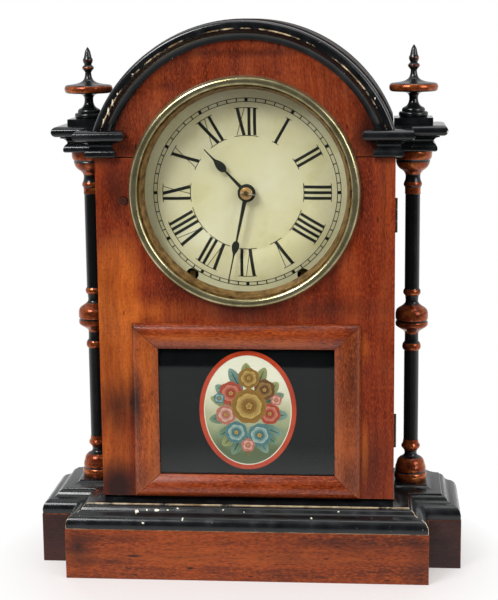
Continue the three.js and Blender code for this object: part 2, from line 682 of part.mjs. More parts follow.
// A turned column from platform to entablature: a base of two rolls and a bell, slim shaft, a double
// urn between two rings at mid height, slim shaft again and a deep vase-shaped capital. Its profile
// is drawn at the height of COLUMN_DRAWN.
const COLUMN_DRAWN = 265;
function column() {
  const shaft = 5.8;
  const profile = trace((path) => {
    path.moveTo(0, 0);
    path.lineTo(12, 0);
    path.quadraticCurveTo(14, 3.4, 12.4, 6.8);
    path.lineTo(12, 7.6);
    path.quadraticCurveTo(12.8, 10.4, 11.4, 13);
    path.quadraticCurveTo(11, 18, 6.4, 19.8);
    path.quadraticCurveTo(4.6, 21, 5, 23.4);
    path.quadraticCurveTo(5.2, 25.6, 7.4, 28);
    path.quadraticCurveTo(6.4, 30, shaft, 34);
    path.lineTo(shaft, 106.8);
    path.lineTo(7.3, 108.6);
    path.quadraticCurveTo(7.6, 111, 5.8, 113);
    path.quadraticCurveTo(5, 117.6, 6.4, 121.6);
    path.quadraticCurveTo(8.4, 123.4, 12.7, 127.4);
    path.lineTo(12.1, 130.4);
    path.lineTo(12.8, 132.4);
    path.quadraticCurveTo(13.4, 138.8, 7.2, 142.4);
    path.quadraticCurveTo(5, 143.6, 5, 147);
    path.quadraticCurveTo(5, 150.4, 6.7, 153.4);
    path.lineTo(shaft, 156);
    path.lineTo(shaft, 231);
    path.lineTo(6.3, 236.4);
    path.lineTo(7.1, 238.2);
    path.quadraticCurveTo(6, 241, 5.7, 244.6);
    path.quadraticCurveTo(6.2, 247.8, 8.6, 249.7);
    path.quadraticCurveTo(12.4, 250.8, 13.4, 257.2);
    path.lineTo(14.7, 259.4);
    path.quadraticCurveTo(15.2, 262, 14.7, COLUMN_DRAWN);
    path.lineTo(0, COLUMN_DRAWN);
  }, 2);
  const body = turnedZ(scaled(profile, ENTABLATURE_RISE / COLUMN_DRAWN));
  addPair("column", body, GILT, COLUMN_ACROSS, COLUMN_Y, PLATFORM);
}

// ---- Dial -----------------------------------------------------------------------------------

function dial() {
  const band = NUMERAL_BAND_RISE;
  const rise = trace((path) => {
    path.moveTo(DIAL_EYE, 0);
    path.lineTo(NUMERAL_BAND_START, 0);
    path.quadraticCurveTo(NUMERAL_BAND_START + 4, -band * 1.1, NUMERAL_BAND_START + 14, -band);
    path.quadraticCurveTo(NUMERAL_BAND_END - 4, -band * 0.9, NUMERAL_BAND_END, -0.5);
    path.lineTo(DIAL_RADIUS, 0.3);
  }, 2);
  const rear = rise.map(([r, y]) => [r, y + DIAL_SHEET]).reverse();
  let plate = turnedY([...rise, ...rear], ROUND - 8);
  for (const side of [-1, 1]) {
    const hole = rodY(WINDING_HOLE, side * WINDING_SPREAD, -WINDING_DROP, -5, 5, 14);
    plate = plate.subtract(hole);
  }
  addPiece("dial_plate", plate, DIAL_ENAMEL, [0, DIAL_FACE, DIAL_CENTRE]);

  const bottom = PLATFORM + DIAL_BOARD_RISE;
  const rearFace = DIAL_BOARD_FRONT + DIAL_BOARD;
  let board = archBoard(CASE_INNER, ROOF_INNER - SEAT, bottom, DIAL_BOARD_FRONT, rearFace);
  const cut = [DIAL_BOARD_FRONT - 1, rearFace + 1];
  board = board.subtract(rodY(DIAL_BOARD_PORT, 0, DIAL_CENTRE, ...cut, 32));
  for (const side of [-1, 1]) {
    const hole = rodY(WINDING_HOLE + 2, side * WINDING_SPREAD, WINDING_Z, ...cut, 14);
    board = board.subtract(hole);
  }
  addPiece("dial_board", board, PINE);
}

// ---- Door -----------------------------------------------------------------------------------

const HINGE_X = DOOR_WIDTH / 2 + 0.2;
const HINGE_Y = DOOR_BACK + 1.4;
const LEAF_EDGE = HINGE_X - HINGE_LEAF_WIDTH;

function doorBoard() {
  const edge = DOOR_WIDTH / 2;
  let board = box([-edge, edge], [DOOR_FRONT, DOOR_BACK], [DOOR_BOTTOM, DOOR_TOP]);
  const through = [DOOR_FRONT - 1, DOOR_BACK + 1];
  board = board.subtract(rodY(PORT_RADIUS, 0, BEZEL_CENTRE, ...through, ROUND));
  const glassEdge = TABLET_EDGE - TABLET_FRAME + TABLET_REBATE + SEAT;
  const lightLow = TABLET_BOTTOM + TABLET_FRAME_FOOT - TABLET_REBATE - SEAT;
  const lightHigh = TABLET_TOP - TABLET_FRAME + TABLET_REBATE + SEAT;
  board = board.subtract(box([-glassEdge, glassEdge], through, [lightLow, lightHigh]));
  const catchZ = BEZEL_CENTRE - CATCH_DROP;
  board = board.subtract(rodY(CATCH_RADIUS + SEAT, CATCH_ACROSS, catchZ, ...through, 14));
  for (const rise of HINGE_MIDDLES) {
    const middle = PLATFORM + rise;
    const recess = box(
      [LEAF_EDGE - SEAT, edge + 1],
      [DOOR_BACK - HINGE_PLATE - SEAT, DOOR_BACK + 1],
      [middle - HINGE_LENGTH / 2 - SEAT, middle + HINGE_LENGTH / 2 + SEAT],
    );
    board = board.subtract(recess);
  }
  addPiece("door_board", board, VENEER);
}

function bezel() {
  const front = -BEZEL_REACH;
  const rebate = BEZEL_LIP_RADIUS + 1.4;
  const glassFront = front + 2.6;
  const ring = trace((path) => {
    path.moveTo(rebate, 0);
    path.lineTo(rebate, glassFront);
    path.lineTo(BEZEL_LIP_RADIUS, glassFront);
    path.lineTo(BEZEL_LIP_RADIUS, glassFront - 1);
    path.quadraticCurveTo(BEZEL_LIP_RADIUS + 1.6, front, BEZEL_LIP_RADIUS + 3.6, front);
    path.quadraticCurveTo(BEZEL_RADIUS - 0.6, front + 0.6, BEZEL_RADIUS, -1);
    path.lineTo(BEZEL_RADIUS, 0);
  }, 3);
  const centre = [0, BEZEL_BACK, BEZEL_CENTRE];
  addPiece("bezel_ring", turnedY(ring), BRASS, centre);

  const glassEdge = rebate - SEAT;
  const pane = rodY(glassEdge, 0, 0, glassFront + 0.1, glassFront + 0.1 + BEZEL_GLASS, ROUND);
  addPiece("bezel_glass", pane, CLEAR_GLASS, centre);

  const flange = glassFront + 0.2 + BEZEL_GLASS;
  const sight = [
    [SIGHT_RADIUS + 2.6, flange],
    [glassEdge, flange],
    [glassEdge, flange + 0.8],
    [SIGHT_RADIUS + 3.3, flange + 0.8],
    [SIGHT_RADIUS + 0.7, flange + SIGHT_DEPTH],
    [SIGHT_RADIUS, flange + SIGHT_DEPTH],
  ];
  addPiece("sight_ring", turnedY(sight, ROUND - 4), GILT, centre);
}

// One length of the tablet frame: a cushion section, lying along x at the foot of the frame. Its ends
// are mitred to meet lengths of the widths given.
function frameLength(length, width, leftWidth, rightWidth) {
  const reach = TABLET_FRAME_REACH;
  const section = trace((path) => {
    path.moveTo(0, 0);
    path.lineTo(-reach * 0.2, 0);
    const shoulder = [-reach * 0.55, width * 0.86];
    path.bezierCurveTo(-reach * 1.1, width * 0.05, -reach * 1.2, width * 0.61, ...shoulder);
    path.lineTo(-reach * 0.25, width);
    path.lineTo(0, width);
  }, 7);
  const bar = slabX(outline(section), -length / 2, length / 2);
  const half = length / 2 - SEAT / 2;
  const ends = outline([
    [-half, 0],
    [half, 0],
    [half - rightWidth, width],
    [-half + leftWidth, width],
  ]);
  return bar.intersect(slabY(ends, -reach * 2, 1));
}

function tablet() {
  const side = TABLET_FRAME;
  const foot = TABLET_FRAME_FOOT;
  const bottom = frameLength(TABLET_WIDTH, foot, side, side);
  const top = frameLength(TABLET_WIDTH, side, side, side);
  const stile = frameLength(TABLET_HEIGHT, side, foot, side);
  const middle = (TABLET_BOTTOM + TABLET_TOP) / 2;
  const lengths = [
    ["tablet_frame_bottom", bottom, 0, [0, DOOR_FRONT, TABLET_BOTTOM]],
    ["tablet_frame_top", top, Math.PI, [0, DOOR_FRONT, TABLET_TOP]],
    ["tablet_frame_right", stile, -Math.PI / 2, [TABLET_EDGE, DOOR_FRONT, middle]],
    ["tablet_frame_left", mirrored(stile), Math.PI / 2, [-TABLET_EDGE, DOOR_FRONT, middle]],
  ];
  for (const [name, body, turn, place] of lengths) {
    addPiece(name, body, VENEER, place).rotation.y = turn;
  }
  const edge = TABLET_EDGE - side + TABLET_REBATE;
  const glass = box(
    [-edge, edge],
    [DOOR_FRONT + SEAT / 2, DOOR_FRONT + SEAT / 2 + TABLET_GLASS],
    [TABLET_BOTTOM + foot - TABLET_REBATE, TABLET_TOP - side + TABLET_REBATE],
  );
  addPiece("tablet_glass", glass, TABLET_PAINT);
}

// A butt hinge: the case leaf has the middle knuckle and the pin, the door leaf the outer two.
function hinge(name, middle) {
  const half = HINGE_LENGTH / 2;
  const third = HINGE_LENGTH / 6;
  const place = [HINGE_X, HINGE_Y, middle];
  const knuckle = (z0, z1) => rodZ(KNUCKLE_RADIUS, 0, 0, z0, z1, 12);

  const pin = rodZ(HINGE_PIN_RADIUS, 0, 0, -half, half, 8);
  const wallX = CASE_EDGE - HINGE_X;
  const webY = [0, HINGE_LEAF_WIDTH];
  const plate = box([wallX, wallX + HINGE_PLATE], webY, [-half, half]);
  const web = box([wallX, 0], [0, HINGE_PLATE], [-third + RUN / 2, third - RUN / 2]);
  let caseLeaf = plate.add(web);
  for (const ends of [[third - RUN / 2, half + 1], [-half - 1, -third + RUN / 2]]) {
    caseLeaf = caseLeaf.subtract(box([wallX - 1, 3], [-3, KNUCKLE_RADIUS + RUN], ends));
  }
  caseLeaf = caseLeaf.add(knuckle(-third + RUN / 2, third - RUN / 2)).add(pin);
  addPiece(`hinge_case_leaf_${name}`, caseLeaf, BRASS, place);

  const leafFront = DOOR_BACK - HINGE_PLATE - HINGE_Y;
  const leaf = box([-HINGE_LEAF_WIDTH, 0], [leafFront, leafFront + HINGE_PLATE], [-half, half]);
  const gap = box([-2.4, 3], [-3, 3], [-third - RUN / 2, third + RUN / 2]);
  const bore = rodZ(HINGE_PIN_RADIUS + SEAT, 0, 0, -half - 1, half + 1, 8);
  const doorLeaf = leaf
    .add(knuckle(third + RUN / 2, half))
    .add(knuckle(-half, -third - RUN / 2))
    .subtract(gap)
    .subtract(bore);
  addPiece(`hinge_door_leaf_${name}`, doorLeaf, BRASS, place);
}

function doorCatch() {
  const shank = rodY(CATCH_RADIUS, 0, 0, -1, DOOR_THICKNESS - 0.4, 14);
  addPiece("door_catch", shank, DARK_WOOD, [CATCH_ACROSS, DOOR_FRONT, BEZEL_CENTRE - CATCH_DROP]);
}

// ---- Hands and motion work ------------------------------------------------------------------

// A toothed wheel outline with trapezoid teeth, its first tooth centred on the angle given.
function gearShape(teeth, module, phase) {
  const pitch = (teeth * module) / 2;
  const tip = pitch + module * 0.85;
  const root = pitch - module * 1.25;
  const step = (2 * Math.PI) / teeth;
  const points = [];
  for (let i = 0; i < teeth; i += 1) {
    const middle = phase + i * step;
    const spots = [
      [root, -0.27],
      [tip, -0.09],
      [tip, 0.09],
      [root, 0.27],
    ];
    for (const [r, share] of spots) {
      const angle = middle + share * step;
      points.push([r * Math.cos(angle), r * Math.sin(angle)]);
    }
  }
  return outline(points);
}

// A wheel with pointed teeth, for the train and the escapement. A lean above zero rakes the teeth.
function pointedWheel(radius, depth, teeth, lean = 0) {
  const step = (2 * Math.PI) / teeth;
  const points = [];
  for (let i = 0; i < teeth; i += 1) {
    const tipAngle = (i + 0.5 + lean) * step;
    points.push([(radius - depth) * Math.cos(i * step), (radius - depth) * Math.sin(i * step)]);
    points.push([radius * Math.cos(tipAngle), radius * Math.sin(tipAngle)]);
  }
  return outline(points);
}

// A hand: round hub, slim stem, a leaf-shaped swelling and a fine point, drawn upwards.
function handShape(length, hub, bulbAt, bulbWidth) {
  const shape = new THREE.Shape();
  const stem = HAND_STEM_WIDTH / 2;
  const start = Math.sqrt(hub * hub - stem * stem);
  const leaf = bulbAt - bulbWidth * 1.2;
  const hubAngle = Math.asin(stem / hub);
  shape.moveTo(stem, start);
  shape.lineTo(stem * 0.8, leaf);
  shape.quadraticCurveTo(bulbWidth / 2, bulbAt - bulbWidth * 0.6, bulbWidth / 2, bulbAt);
  shape.quadraticCurveTo(bulbWidth * 0.42, bulbAt + bulbWidth * 0.8, 0.35, length);
  shape.lineTo(-0.35, length);
  shape.quadraticCurveTo(-bulbWidth * 0.42, bulbAt + bulbWidth * 0.8, -bulbWidth / 2, bulbAt);
  shape.quadraticCurveTo(-bulbWidth / 2, bulbAt - bulbWidth * 0.6, -stem * 0.8, leaf);
  shape.lineTo(-stem, start);
  shape.absarc(0, 0, hub, Math.PI / 2 + hubAngle, Math.PI / 2 - hubAngle + 2 * Math.PI, false);
  return shape;
}

const HOUR_PIPE_BORE = CENTRE_ARBOR_RADIUS + RUN;
const HOUR_PIPE_RADIUS = HOUR_PIPE_BORE + HOUR_PIPE_WALL;
const HOUR_HAND_Y = DIAL_FACE - NUMERAL_BAND_RISE - 2.6;
const MINUTE_HAND_Y = HOUR_HAND_Y - HAND_LAYER;
const WASHER_Y = MINUTE_HAND_Y - 1;
const PIN_Y = WASHER_Y - 1;
const ARBOR_TIP_Y = PIN_Y - 1.6;

// The minute hand stands at the minutes past the hour, the hour hand at its share of the dial.
const MINUTE_TURN = (TIME_SHOWN_MINUTES % 60) / 60;
const HOUR_TURN = TIME_SHOWN_MINUTES / 720;

function placeHand(name, shape, y, turns, bore) {
  const blank = slabY(shape, 0, HAND_SHEET, 6).subtract(rodY(bore, 0, 0, -1, 2, 12));
  const mesh = addPiece(name, blank, BLUED_STEEL, [0, y, DIAL_CENTRE]);
  mesh.rotation.y = turns * 2 * Math.PI;
}

function hands() {
  const hour = handShape(HOUR_HAND_LENGTH, HOUR_HUB_RADIUS, HOUR_BULB_AT, HOUR_BULB_WIDTH);
  placeHand("hour_hand", hour, HOUR_HAND_Y, HOUR_TURN, HOUR_PIPE_RADIUS + SEAT);
  const minuteHub = MINUTE_HUB_RADIUS;
  const minute = handShape(MINUTE_HAND_LENGTH, minuteHub, MINUTE_BULB_AT, MINUTE_BULB_WIDTH);
  placeHand("minute_hand", minute, MINUTE_HAND_Y, MINUTE_TURN, CENTRE_ARBOR_RADIUS + SEAT);

  const washer = rodY(WASHER_RADIUS, 0, 0, 0, 0.7, 24).subtract(
    rodY(CENTRE_ARBOR_RADIUS + SEAT, 0, 0, -1, 2, 12),
  );
  addPiece("hand_washer", washer, BRASS, [0, WASHER_Y, DIAL_CENTRE]);

  const thin = TAPER_PIN_RADIUS / 2;
  const taper = new THREE.CylinderGeometry(thin, TAPER_PIN_RADIUS, TAPER_PIN_LENGTH, SMALL);
  taper.rotateZ(-Math.PI / 2);
  taper.translate(TAPER_PIN_LENGTH / 6, 0, 0);
  const pin = addPiece("taper_pin", solid(taper), STEEL, [0, PIN_Y, DIAL_CENTRE]);
  pin.rotation.y = TAPER_PIN_TILT;
}

function motionWork() {
  const cannonModule = (2 * MOTION_CENTRES) / (CANNON_TEETH + MINUTE_WHEEL_TEETH);
  const hourModule = (2 * MOTION_CENTRES) / (MINUTE_PINION_TEETH + HOUR_WHEEL_TEETH);
  const away = MINUTE_STUD_ANGLE;
  const back = away + Math.PI;

  const minuteLayer = PLATE_FRONT - 2.4;
  const hourLayer = PLATE_FRONT - 5.4;
  const half = WHEEL_SHEET / 2;

  const cannonShape = gearShape(CANNON_TEETH, cannonModule, away);
  const cannon = slabY(cannonShape, minuteLayer - WHEEL_SHEET, minuteLayer + WHEEL_SHEET);
  const crossHole = new THREE.CylinderGeometry(
    TAPER_PIN_RADIUS + SEAT,
    TAPER_PIN_RADIUS + SEAT,
    TAPER_PIN_LENGTH,
    SMALL,
  );
  crossHole.rotateZ(-Math.PI / 2);
  crossHole.rotateY(TAPER_PIN_TILT);
  crossHole.translate(0, PIN_Y, 0);
  const wheelY = BACK_PLATE - 5;
  const centreShape = pointedWheel(CENTRE_WHEEL_RADIUS, 1.6, CENTRE_WHEEL_TEETH);
  const centreWheel = slabY(centreShape, wheelY, wheelY + WHEEL_SHEET);
  const arbor = rodY(CENTRE_ARBOR_RADIUS, 0, 0, ARBOR_TIP_Y, BACK_PLATE_REAR, 12)
    .subtract(solid(crossHole))
    .add(cannon)
    .add(centreWheel);
  addPiece("centre_arbor", arbor, BRASS, [0, 0, DIAL_CENTRE]);

  const stud = [MOTION_CENTRES * Math.cos(away), MOTION_CENTRES * Math.sin(away)];
  const wheelPhase = back + Math.PI / MINUTE_WHEEL_TEETH;
  const wheel = slabY(
    gearShape(MINUTE_WHEEL_TEETH, cannonModule, wheelPhase),
    minuteLayer - half,
    minuteLayer + half,
  );
  const pinion = slabY(
    gearShape(MINUTE_PINION_TEETH, hourModule, back),
    hourLayer - WHEEL_SHEET,
    minuteLayer - half,
  );
  const studHole = rodY(MINUTE_STUD_RADIUS + SEAT, 0, 0, PLATE_FRONT - 10, PLATE_FRONT);
  const minuteWheel = wheel.add(pinion).subtract(studHole);
  addPiece("minute_wheel", minuteWheel, BRASS, [stud[0], 0, DIAL_CENTRE + stud[1]]);

  const hourPhase = away + Math.PI / HOUR_WHEEL_TEETH;
  const hourGear = slabY(
    gearShape(HOUR_WHEEL_TEETH, hourModule, hourPhase),
    hourLayer - half,
    hourLayer + half,
  );
  const pipe = rodY(HOUR_PIPE_RADIUS, 0, 0, HOUR_HAND_Y - 0.4, hourLayer, 14);
  const bore = rodY(HOUR_PIPE_BORE, 0, 0, HOUR_HAND_Y - 1, hourLayer + 1, 14);
  addPiece("hour_wheel", hourGear.add(pipe).subtract(bore), BRASS, [0, 0, DIAL_CENTRE]);
  return stud;
}

// ---- Movement -------------------------------------------------------------------------------

const PILLAR_ACROSS = PLATE_WIDTH / 2 - PILLAR_INSET;
const PILLARS = [
  [-PILLAR_ACROSS, PLATE_BOTTOM + PILLAR_INSET],
  [PILLAR_ACROSS, PLATE_BOTTOM + PILLAR_INSET],
  [-PILLAR_ACROSS, PLATE_TOP - PILLAR_INSET],
  [PILLAR_ACROSS, PLATE_TOP - PILLAR_INSET],
];
const VERGE_ARBOR_RADIUS = 1;
const HAMMER_ARBOR_RADIUS = 1.2;

// A brass plate with clipped corners, a window between the springs and a hole for every arbor.
function plate(y0, y1) {
  const edge = PLATE_WIDTH / 2;
  const clip = 9;
  const shape = outline([
    [-edge + clip, PLATE_BOTTOM],
    [edge - clip, PLATE_BOTTOM],
    [edge, PLATE_BOTTOM + clip],
    [edge, PLATE_TOP - clip],
    [edge - clip, PLATE_TOP],
    [-edge + clip, PLATE_TOP],
    [-edge, PLATE_TOP - clip],
    [-edge, PLATE_BOTTOM + clip],
  ]);
  let body = slabY(shape, y0, y1);
  const through = [y0 - 1, y1 + 1];
  body = body.subtract(box([-13, 13], through, [PLATE_BOTTOM + 12, DIAL_CENTRE - 26]));
  for (const side of [-1, 1]) {
    const x = [side * 38 - 14, side * 38 + 14];
    body = body.subtract(box(x, through, [DIAL_CENTRE - 12, DIAL_CENTRE + 22]));
    body = body.subtract(
      rodY(WINDING_ARBOR_RADIUS + RUN, side * WINDING_SPREAD, WINDING_Z, ...through),
    );
  }
  const pivots = [
    [CENTRE_ARBOR_RADIUS, 0, DIAL_CENTRE],
    [VERGE_ARBOR_RADIUS, 0, VERGE_Z],
    [VERGE_ARBOR_RADIUS, 0, ESCAPE_Z],
    [HAMMER_ARBOR_RADIUS, HAMMER_ACROSS, HAMMER_Z],
  ];
  for (const [radius, x, z] of pivots) {
    body = body.subtract(rodY(radius + RUN, x, z, ...through));
  }
  return body;
}

function movementFrame(stud) {
  let front = plate(PLATE_FRONT, PLATE_INNER);
  const studY = [PLATE_FRONT - MINUTE_STUD_REACH, PLATE_FRONT + OVERLAP];
  front = front.add(rodY(MINUTE_STUD_RADIUS, stud[0], DIAL_CENTRE + stud[1], ...studY));
  for (const [x, z] of PILLARS) {
    front = front.subtract(rodY(PILLAR_TENON + SEAT, x, z, PLATE_FRONT - 1, PLATE_INNER + 1));
  }
  addPiece("front_plate", front, BRASS);

  let back = plate(BACK_PLATE, BACK_PLATE_REAR);
  for (const [x, z] of PILLARS) {
    back = back.add(rodY(PILLAR_RADIUS, x, z, PLATE_INNER, BACK_PLATE + OVERLAP));
    back = back.add(rodY(PILLAR_TENON, x, z, PLATE_FRONT - 1, PLATE_INNER + OVERLAP));
    back = back.add(rodY(PLATE_FOOT_RADIUS, x, z, BACK_PLATE_REAR - OVERLAP, BACKBOARD_FRONT));
  }
  const cockTop = SUSPENSION_Z + 3;
  const cockX = [-COCK_WIDTH / 2, COCK_WIDTH / 2];
  const cockY = [BACK_PLATE_REAR - OVERLAP, PENDULUM_Y + 3.4];
  const cock = box(cockX, cockY, [SUSPENSION_Z - 4, cockTop]);
  const slitX = [-COCK_SLIT / 2, COCK_SLIT / 2];
  const slit = box(slitX, [PENDULUM_Y - 2.5, PENDULUM_Y + 4], [SUSPENSION_Z - 5, cockTop + 1]);
  const rise = box(cockX, [BACK_PLATE, BACK_PLATE_REAR], [PLATE_TOP - 4, cockTop]);
  addPiece("back_plate", back.add(rise).add(cock.subtract(slit)), BRASS);
}

// The coiled mainspring, from the winding arbor out to a pillar.
function mainspring(name, side) {
  const pillar = PILLARS[side > 0 ? 1 : 0];
  const reachX = pillar[0] - side * WINDING_SPREAD;
  const reachZ = pillar[1] - WINDING_Z;
  const last = Math.hypot(reachX, reachZ) - PILLAR_RADIUS - RUN - MAINSPRING_STRIP / 2;
  const first = WINDING_ARBOR_RADIUS + RUN + MAINSPRING_STRIP / 2;
  const endAngle = Math.atan2(reachZ, reachX);
  const steps = MAINSPRING_TURNS * 12;
  const edge = (offset) =>
    Array.from({ length: steps + 1 }, (_, i) => {
      const share = i / steps;
      const angle = endAngle - side * (1 - share) * MAINSPRING_TURNS * 2 * Math.PI;
      const r = first + (last - first) * share + offset;
      return [r * Math.cos(angle), r * Math.sin(angle)];
    });
  const shape = outline([
    ...edge(MAINSPRING_STRIP / 2),
    ...edge(-MAINSPRING_STRIP / 2).reverse(),
  ]);
  const y0 = PLATE_INNER + 2;
  const strip = slabY(shape, y0, y0 + MAINSPRING_WIDTH);
  addPiece(name, strip, STEEL, [side * WINDING_SPREAD, 0, WINDING_Z]);
}

function greatWheel(name, side) {
  const wheelY = PLATE_INNER + 2 + MAINSPRING_WIDTH + 2.4;
  const wheelShape = pointedWheel(GREAT_WHEEL_RADIUS, 2.2, GREAT_WHEEL_TEETH);
  const wheel = slabY(wheelShape, wheelY, wheelY + 1.6);
  const ratchetShape = pointedWheel(RATCHET_RADIUS, 1.4, RATCHET_TEETH, 0.4);
  const ratchet = slabY(ratchetShape, wheelY - 1.4, wheelY + 0.1);
  const arbor = rodY(WINDING_ARBOR_RADIUS, 0, 0, PLATE_FRONT - 1, BACK_PLATE_REAR + 1, 12);
  const half = WINDING_SQUARE / 2;
  const square = box(
    [-half, half],
    [PLATE_FRONT - WINDING_SQUARE_REACH, PLATE_FRONT],
    [-half, half],
  );
  const body = arbor.add(wheel).add(ratchet).add(square);
  addPiece(name, body, BRASS, [side * WINDING_SPREAD, 0, WINDING_Z]);
}

function escapement() {
  const wheelY = PLATE_INNER + 10;
  const wheelShape = pointedWheel(ESCAPE_RADIUS, 2, ESCAPE_TEETH, 0.3);
  const wheel = slabY(wheelShape, wheelY, wheelY + WHEEL_SHEET);
  const arbor = rodY(VERGE_ARBOR_RADIUS, 0, 0, PLATE_FRONT + 0.2, BACK_PLATE_REAR - 0.2);
  const pinion = rodY(2.4, 0, 0, wheelY + 3, wheelY + 8);
  addPiece("escape_wheel", arbor.add(wheel).add(pinion), BRASS, [0, 0, ESCAPE_Z]);

  // The verge: a bent strip whose two ends hang over the wheel, clear of its teeth in every pose.
  const drop = VERGE_Z - ESCAPE_Z;
  const reach = ESCAPE_RADIUS + PALLET_CLEAR;
  const lift = THREE.MathUtils.degToRad(50);
  const tip = [reach * Math.sin(lift), reach * Math.cos(lift) - drop];
  const bend = [tip[0] + 1.6, tip[1] + 5];
  const thick = 1;
  const strip = slabY(
    outline([
      [0, 2.2],
      [bend[0], bend[1] + thick],
      [tip[0] + thick, tip[1] + 0.4],
      [tip[0], tip[1]],
      [bend[0] - thick, bend[1]],
      [0, -1.4],
      [-bend[0] + thick, bend[1]],
      [-tip[0], tip[1]],
      [-tip[0] - thick, tip[1] + 0.4],
      [-bend[0], bend[1] + thick],
    ]),
    wheelY - 1.4,
    wheelY + WHEEL_SHEET + 1.4,
  );
  const crutchY = BACK_PLATE_REAR + 1.6;
  const shaft = rodY(VERGE_ARBOR_RADIUS, 0, 0, PLATE_FRONT + 0.2, crutchY + 0.6);
  const crutch = rodZ(0.7, 0, crutchY, -FORK_DROP, OVERLAP);
  const bridgeY = [crutchY - 0.7, crutchY + 0.7];
  const bridge = box([-2.7, 2.7], bridgeY, [-FORK_DROP - 0.7, -FORK_DROP + 0.7]);
  let verge = shaft.add(strip).add(crutch).add(bridge);
  for (const side of [-1, 1]) {
    const x = side * (ROD_RADIUS + RUN + 0.6);
    verge = verge.add(rodY(0.6, x, -FORK_DROP, crutchY, PENDULUM_Y + 2));
  }
  addPiece("verge_crutch", verge, STEEL, [0, 0, VERGE_Z]);
}

function hammer() {
  const armY = PLATE_INNER + 17.4;
  const gongOuter = gongRadiusEnd() + GONG_WIRE / 2;
  const headZ = GONG_Z + HAMMER_STRIKE_RISE;
  const headFace = -Math.sqrt(gongOuter ** 2 - HAMMER_STRIKE_RISE ** 2) - HAMMER_REST_GAP;
  const headX = headFace - HAMMER_HEAD_LENGTH / 2;
  const x = headX - HAMMER_ACROSS;
  const z = headZ - HAMMER_Z;
  const arm = wire(
    [
      [0, armY, 0],
      [-1, armY, -5],
      [-2.2, armY + 1.6, -9],
      [-3, armY + 12, -10.6],
      [-4, GONG_Y - 3, -12],
      [-5.4, GONG_Y, -15.6],
      [x * 0.6, GONG_Y, z * 0.62],
      [x, GONG_Y, z],
    ],
    HAMMER_WIRE,
    28,
  );
  const headRadius = HAMMER_HEAD_RADIUS;
  const head = new THREE.CylinderGeometry(headRadius, headRadius, HAMMER_HEAD_LENGTH, TURNED);
  head.rotateZ(Math.PI / 2);
  head.translate(x, GONG_Y, z);
  const shaft = rodY(HAMMER_ARBOR_RADIUS, 0, 0, PLATE_FRONT + 0.2, BACK_PLATE_REAR - 0.2);
  const body = shaft.add(arm).add(solid(head));
  addPiece("hammer", body, STEEL, [HAMMER_ACROSS, 0, HAMMER_Z]);
}

// ---- Pendulum -------------------------------------------------------------------------------

function pendulum() {
  const springHalf = SUSPENSION_SPRING_WIDTH / 2;
  const springY = [PENDULUM_Y - springHalf, PENDULUM_Y + springHalf];
  const springFoot = SUSPENSION_Z - SUSPENSION_SPRING;
  const spring = box([-0.25, 0.25], springY, [springFoot, SUSPENSION_Z + 2]);
  const nutTop = BOB_Z - BOB_RADIUS - SEAT;
  const rod = rodZ(ROD_RADIUS, 0, PENDULUM_Y, nutTop - ROD_END, springFoot + 1);
  const nut = rodZ(RATING_NUT_RADIUS, 0, PENDULUM_Y, nutTop - RATING_NUT_HEIGHT, nutTop, 12);
  addPiece("pendulum_rod", spring.add(rod).add(nut), BRASS);

  const half = BOB_THICKNESS / 2;
  const lens = trace((path) => {
    path.moveTo(0, -half);
    path.quadraticCurveTo(BOB_RADIUS * 0.6, -half, BOB_RADIUS, -0.8);
    path.lineTo(BOB_RADIUS, 0.8);
    path.quadraticCurveTo(BOB_RADIUS * 0.6, half, 0, half);
  }, 3);
  const channel = rodZ(ROD_RADIUS + SEAT, 0, 0, -BOB_RADIUS - 1, BOB_RADIUS + 1, 8);
  const bob = solid(
    new THREE.LatheGeometry(
      lens.map(([r, y]) => new THREE.Vector2(r, y)),
      24,
    ),
  );
  addPiece("pendulum_bob", bob.subtract(channel), BRASS, [0, PENDULUM_Y, BOB_Z]);
}

// ---- Gong -----------------------------------------------------------------------------------

const GONG_START_X = GONG_BOSS / 2 + SEAT;

// Where the spiral starts: a lead-in straight out of the boss, then a quarter bend.
function gongStart() {
  const x = GONG_START_X + GONG_WIRE + GONG_LEAD_RADIUS;
  const z = GONG_LEAD_RADIUS;
  return { radius: Math.hypot(x, z), angle: Math.atan2(z, x) };
}

const gongRadiusEnd = () => gongStart().radius + GONG_PITCH * GONG_TURNS;

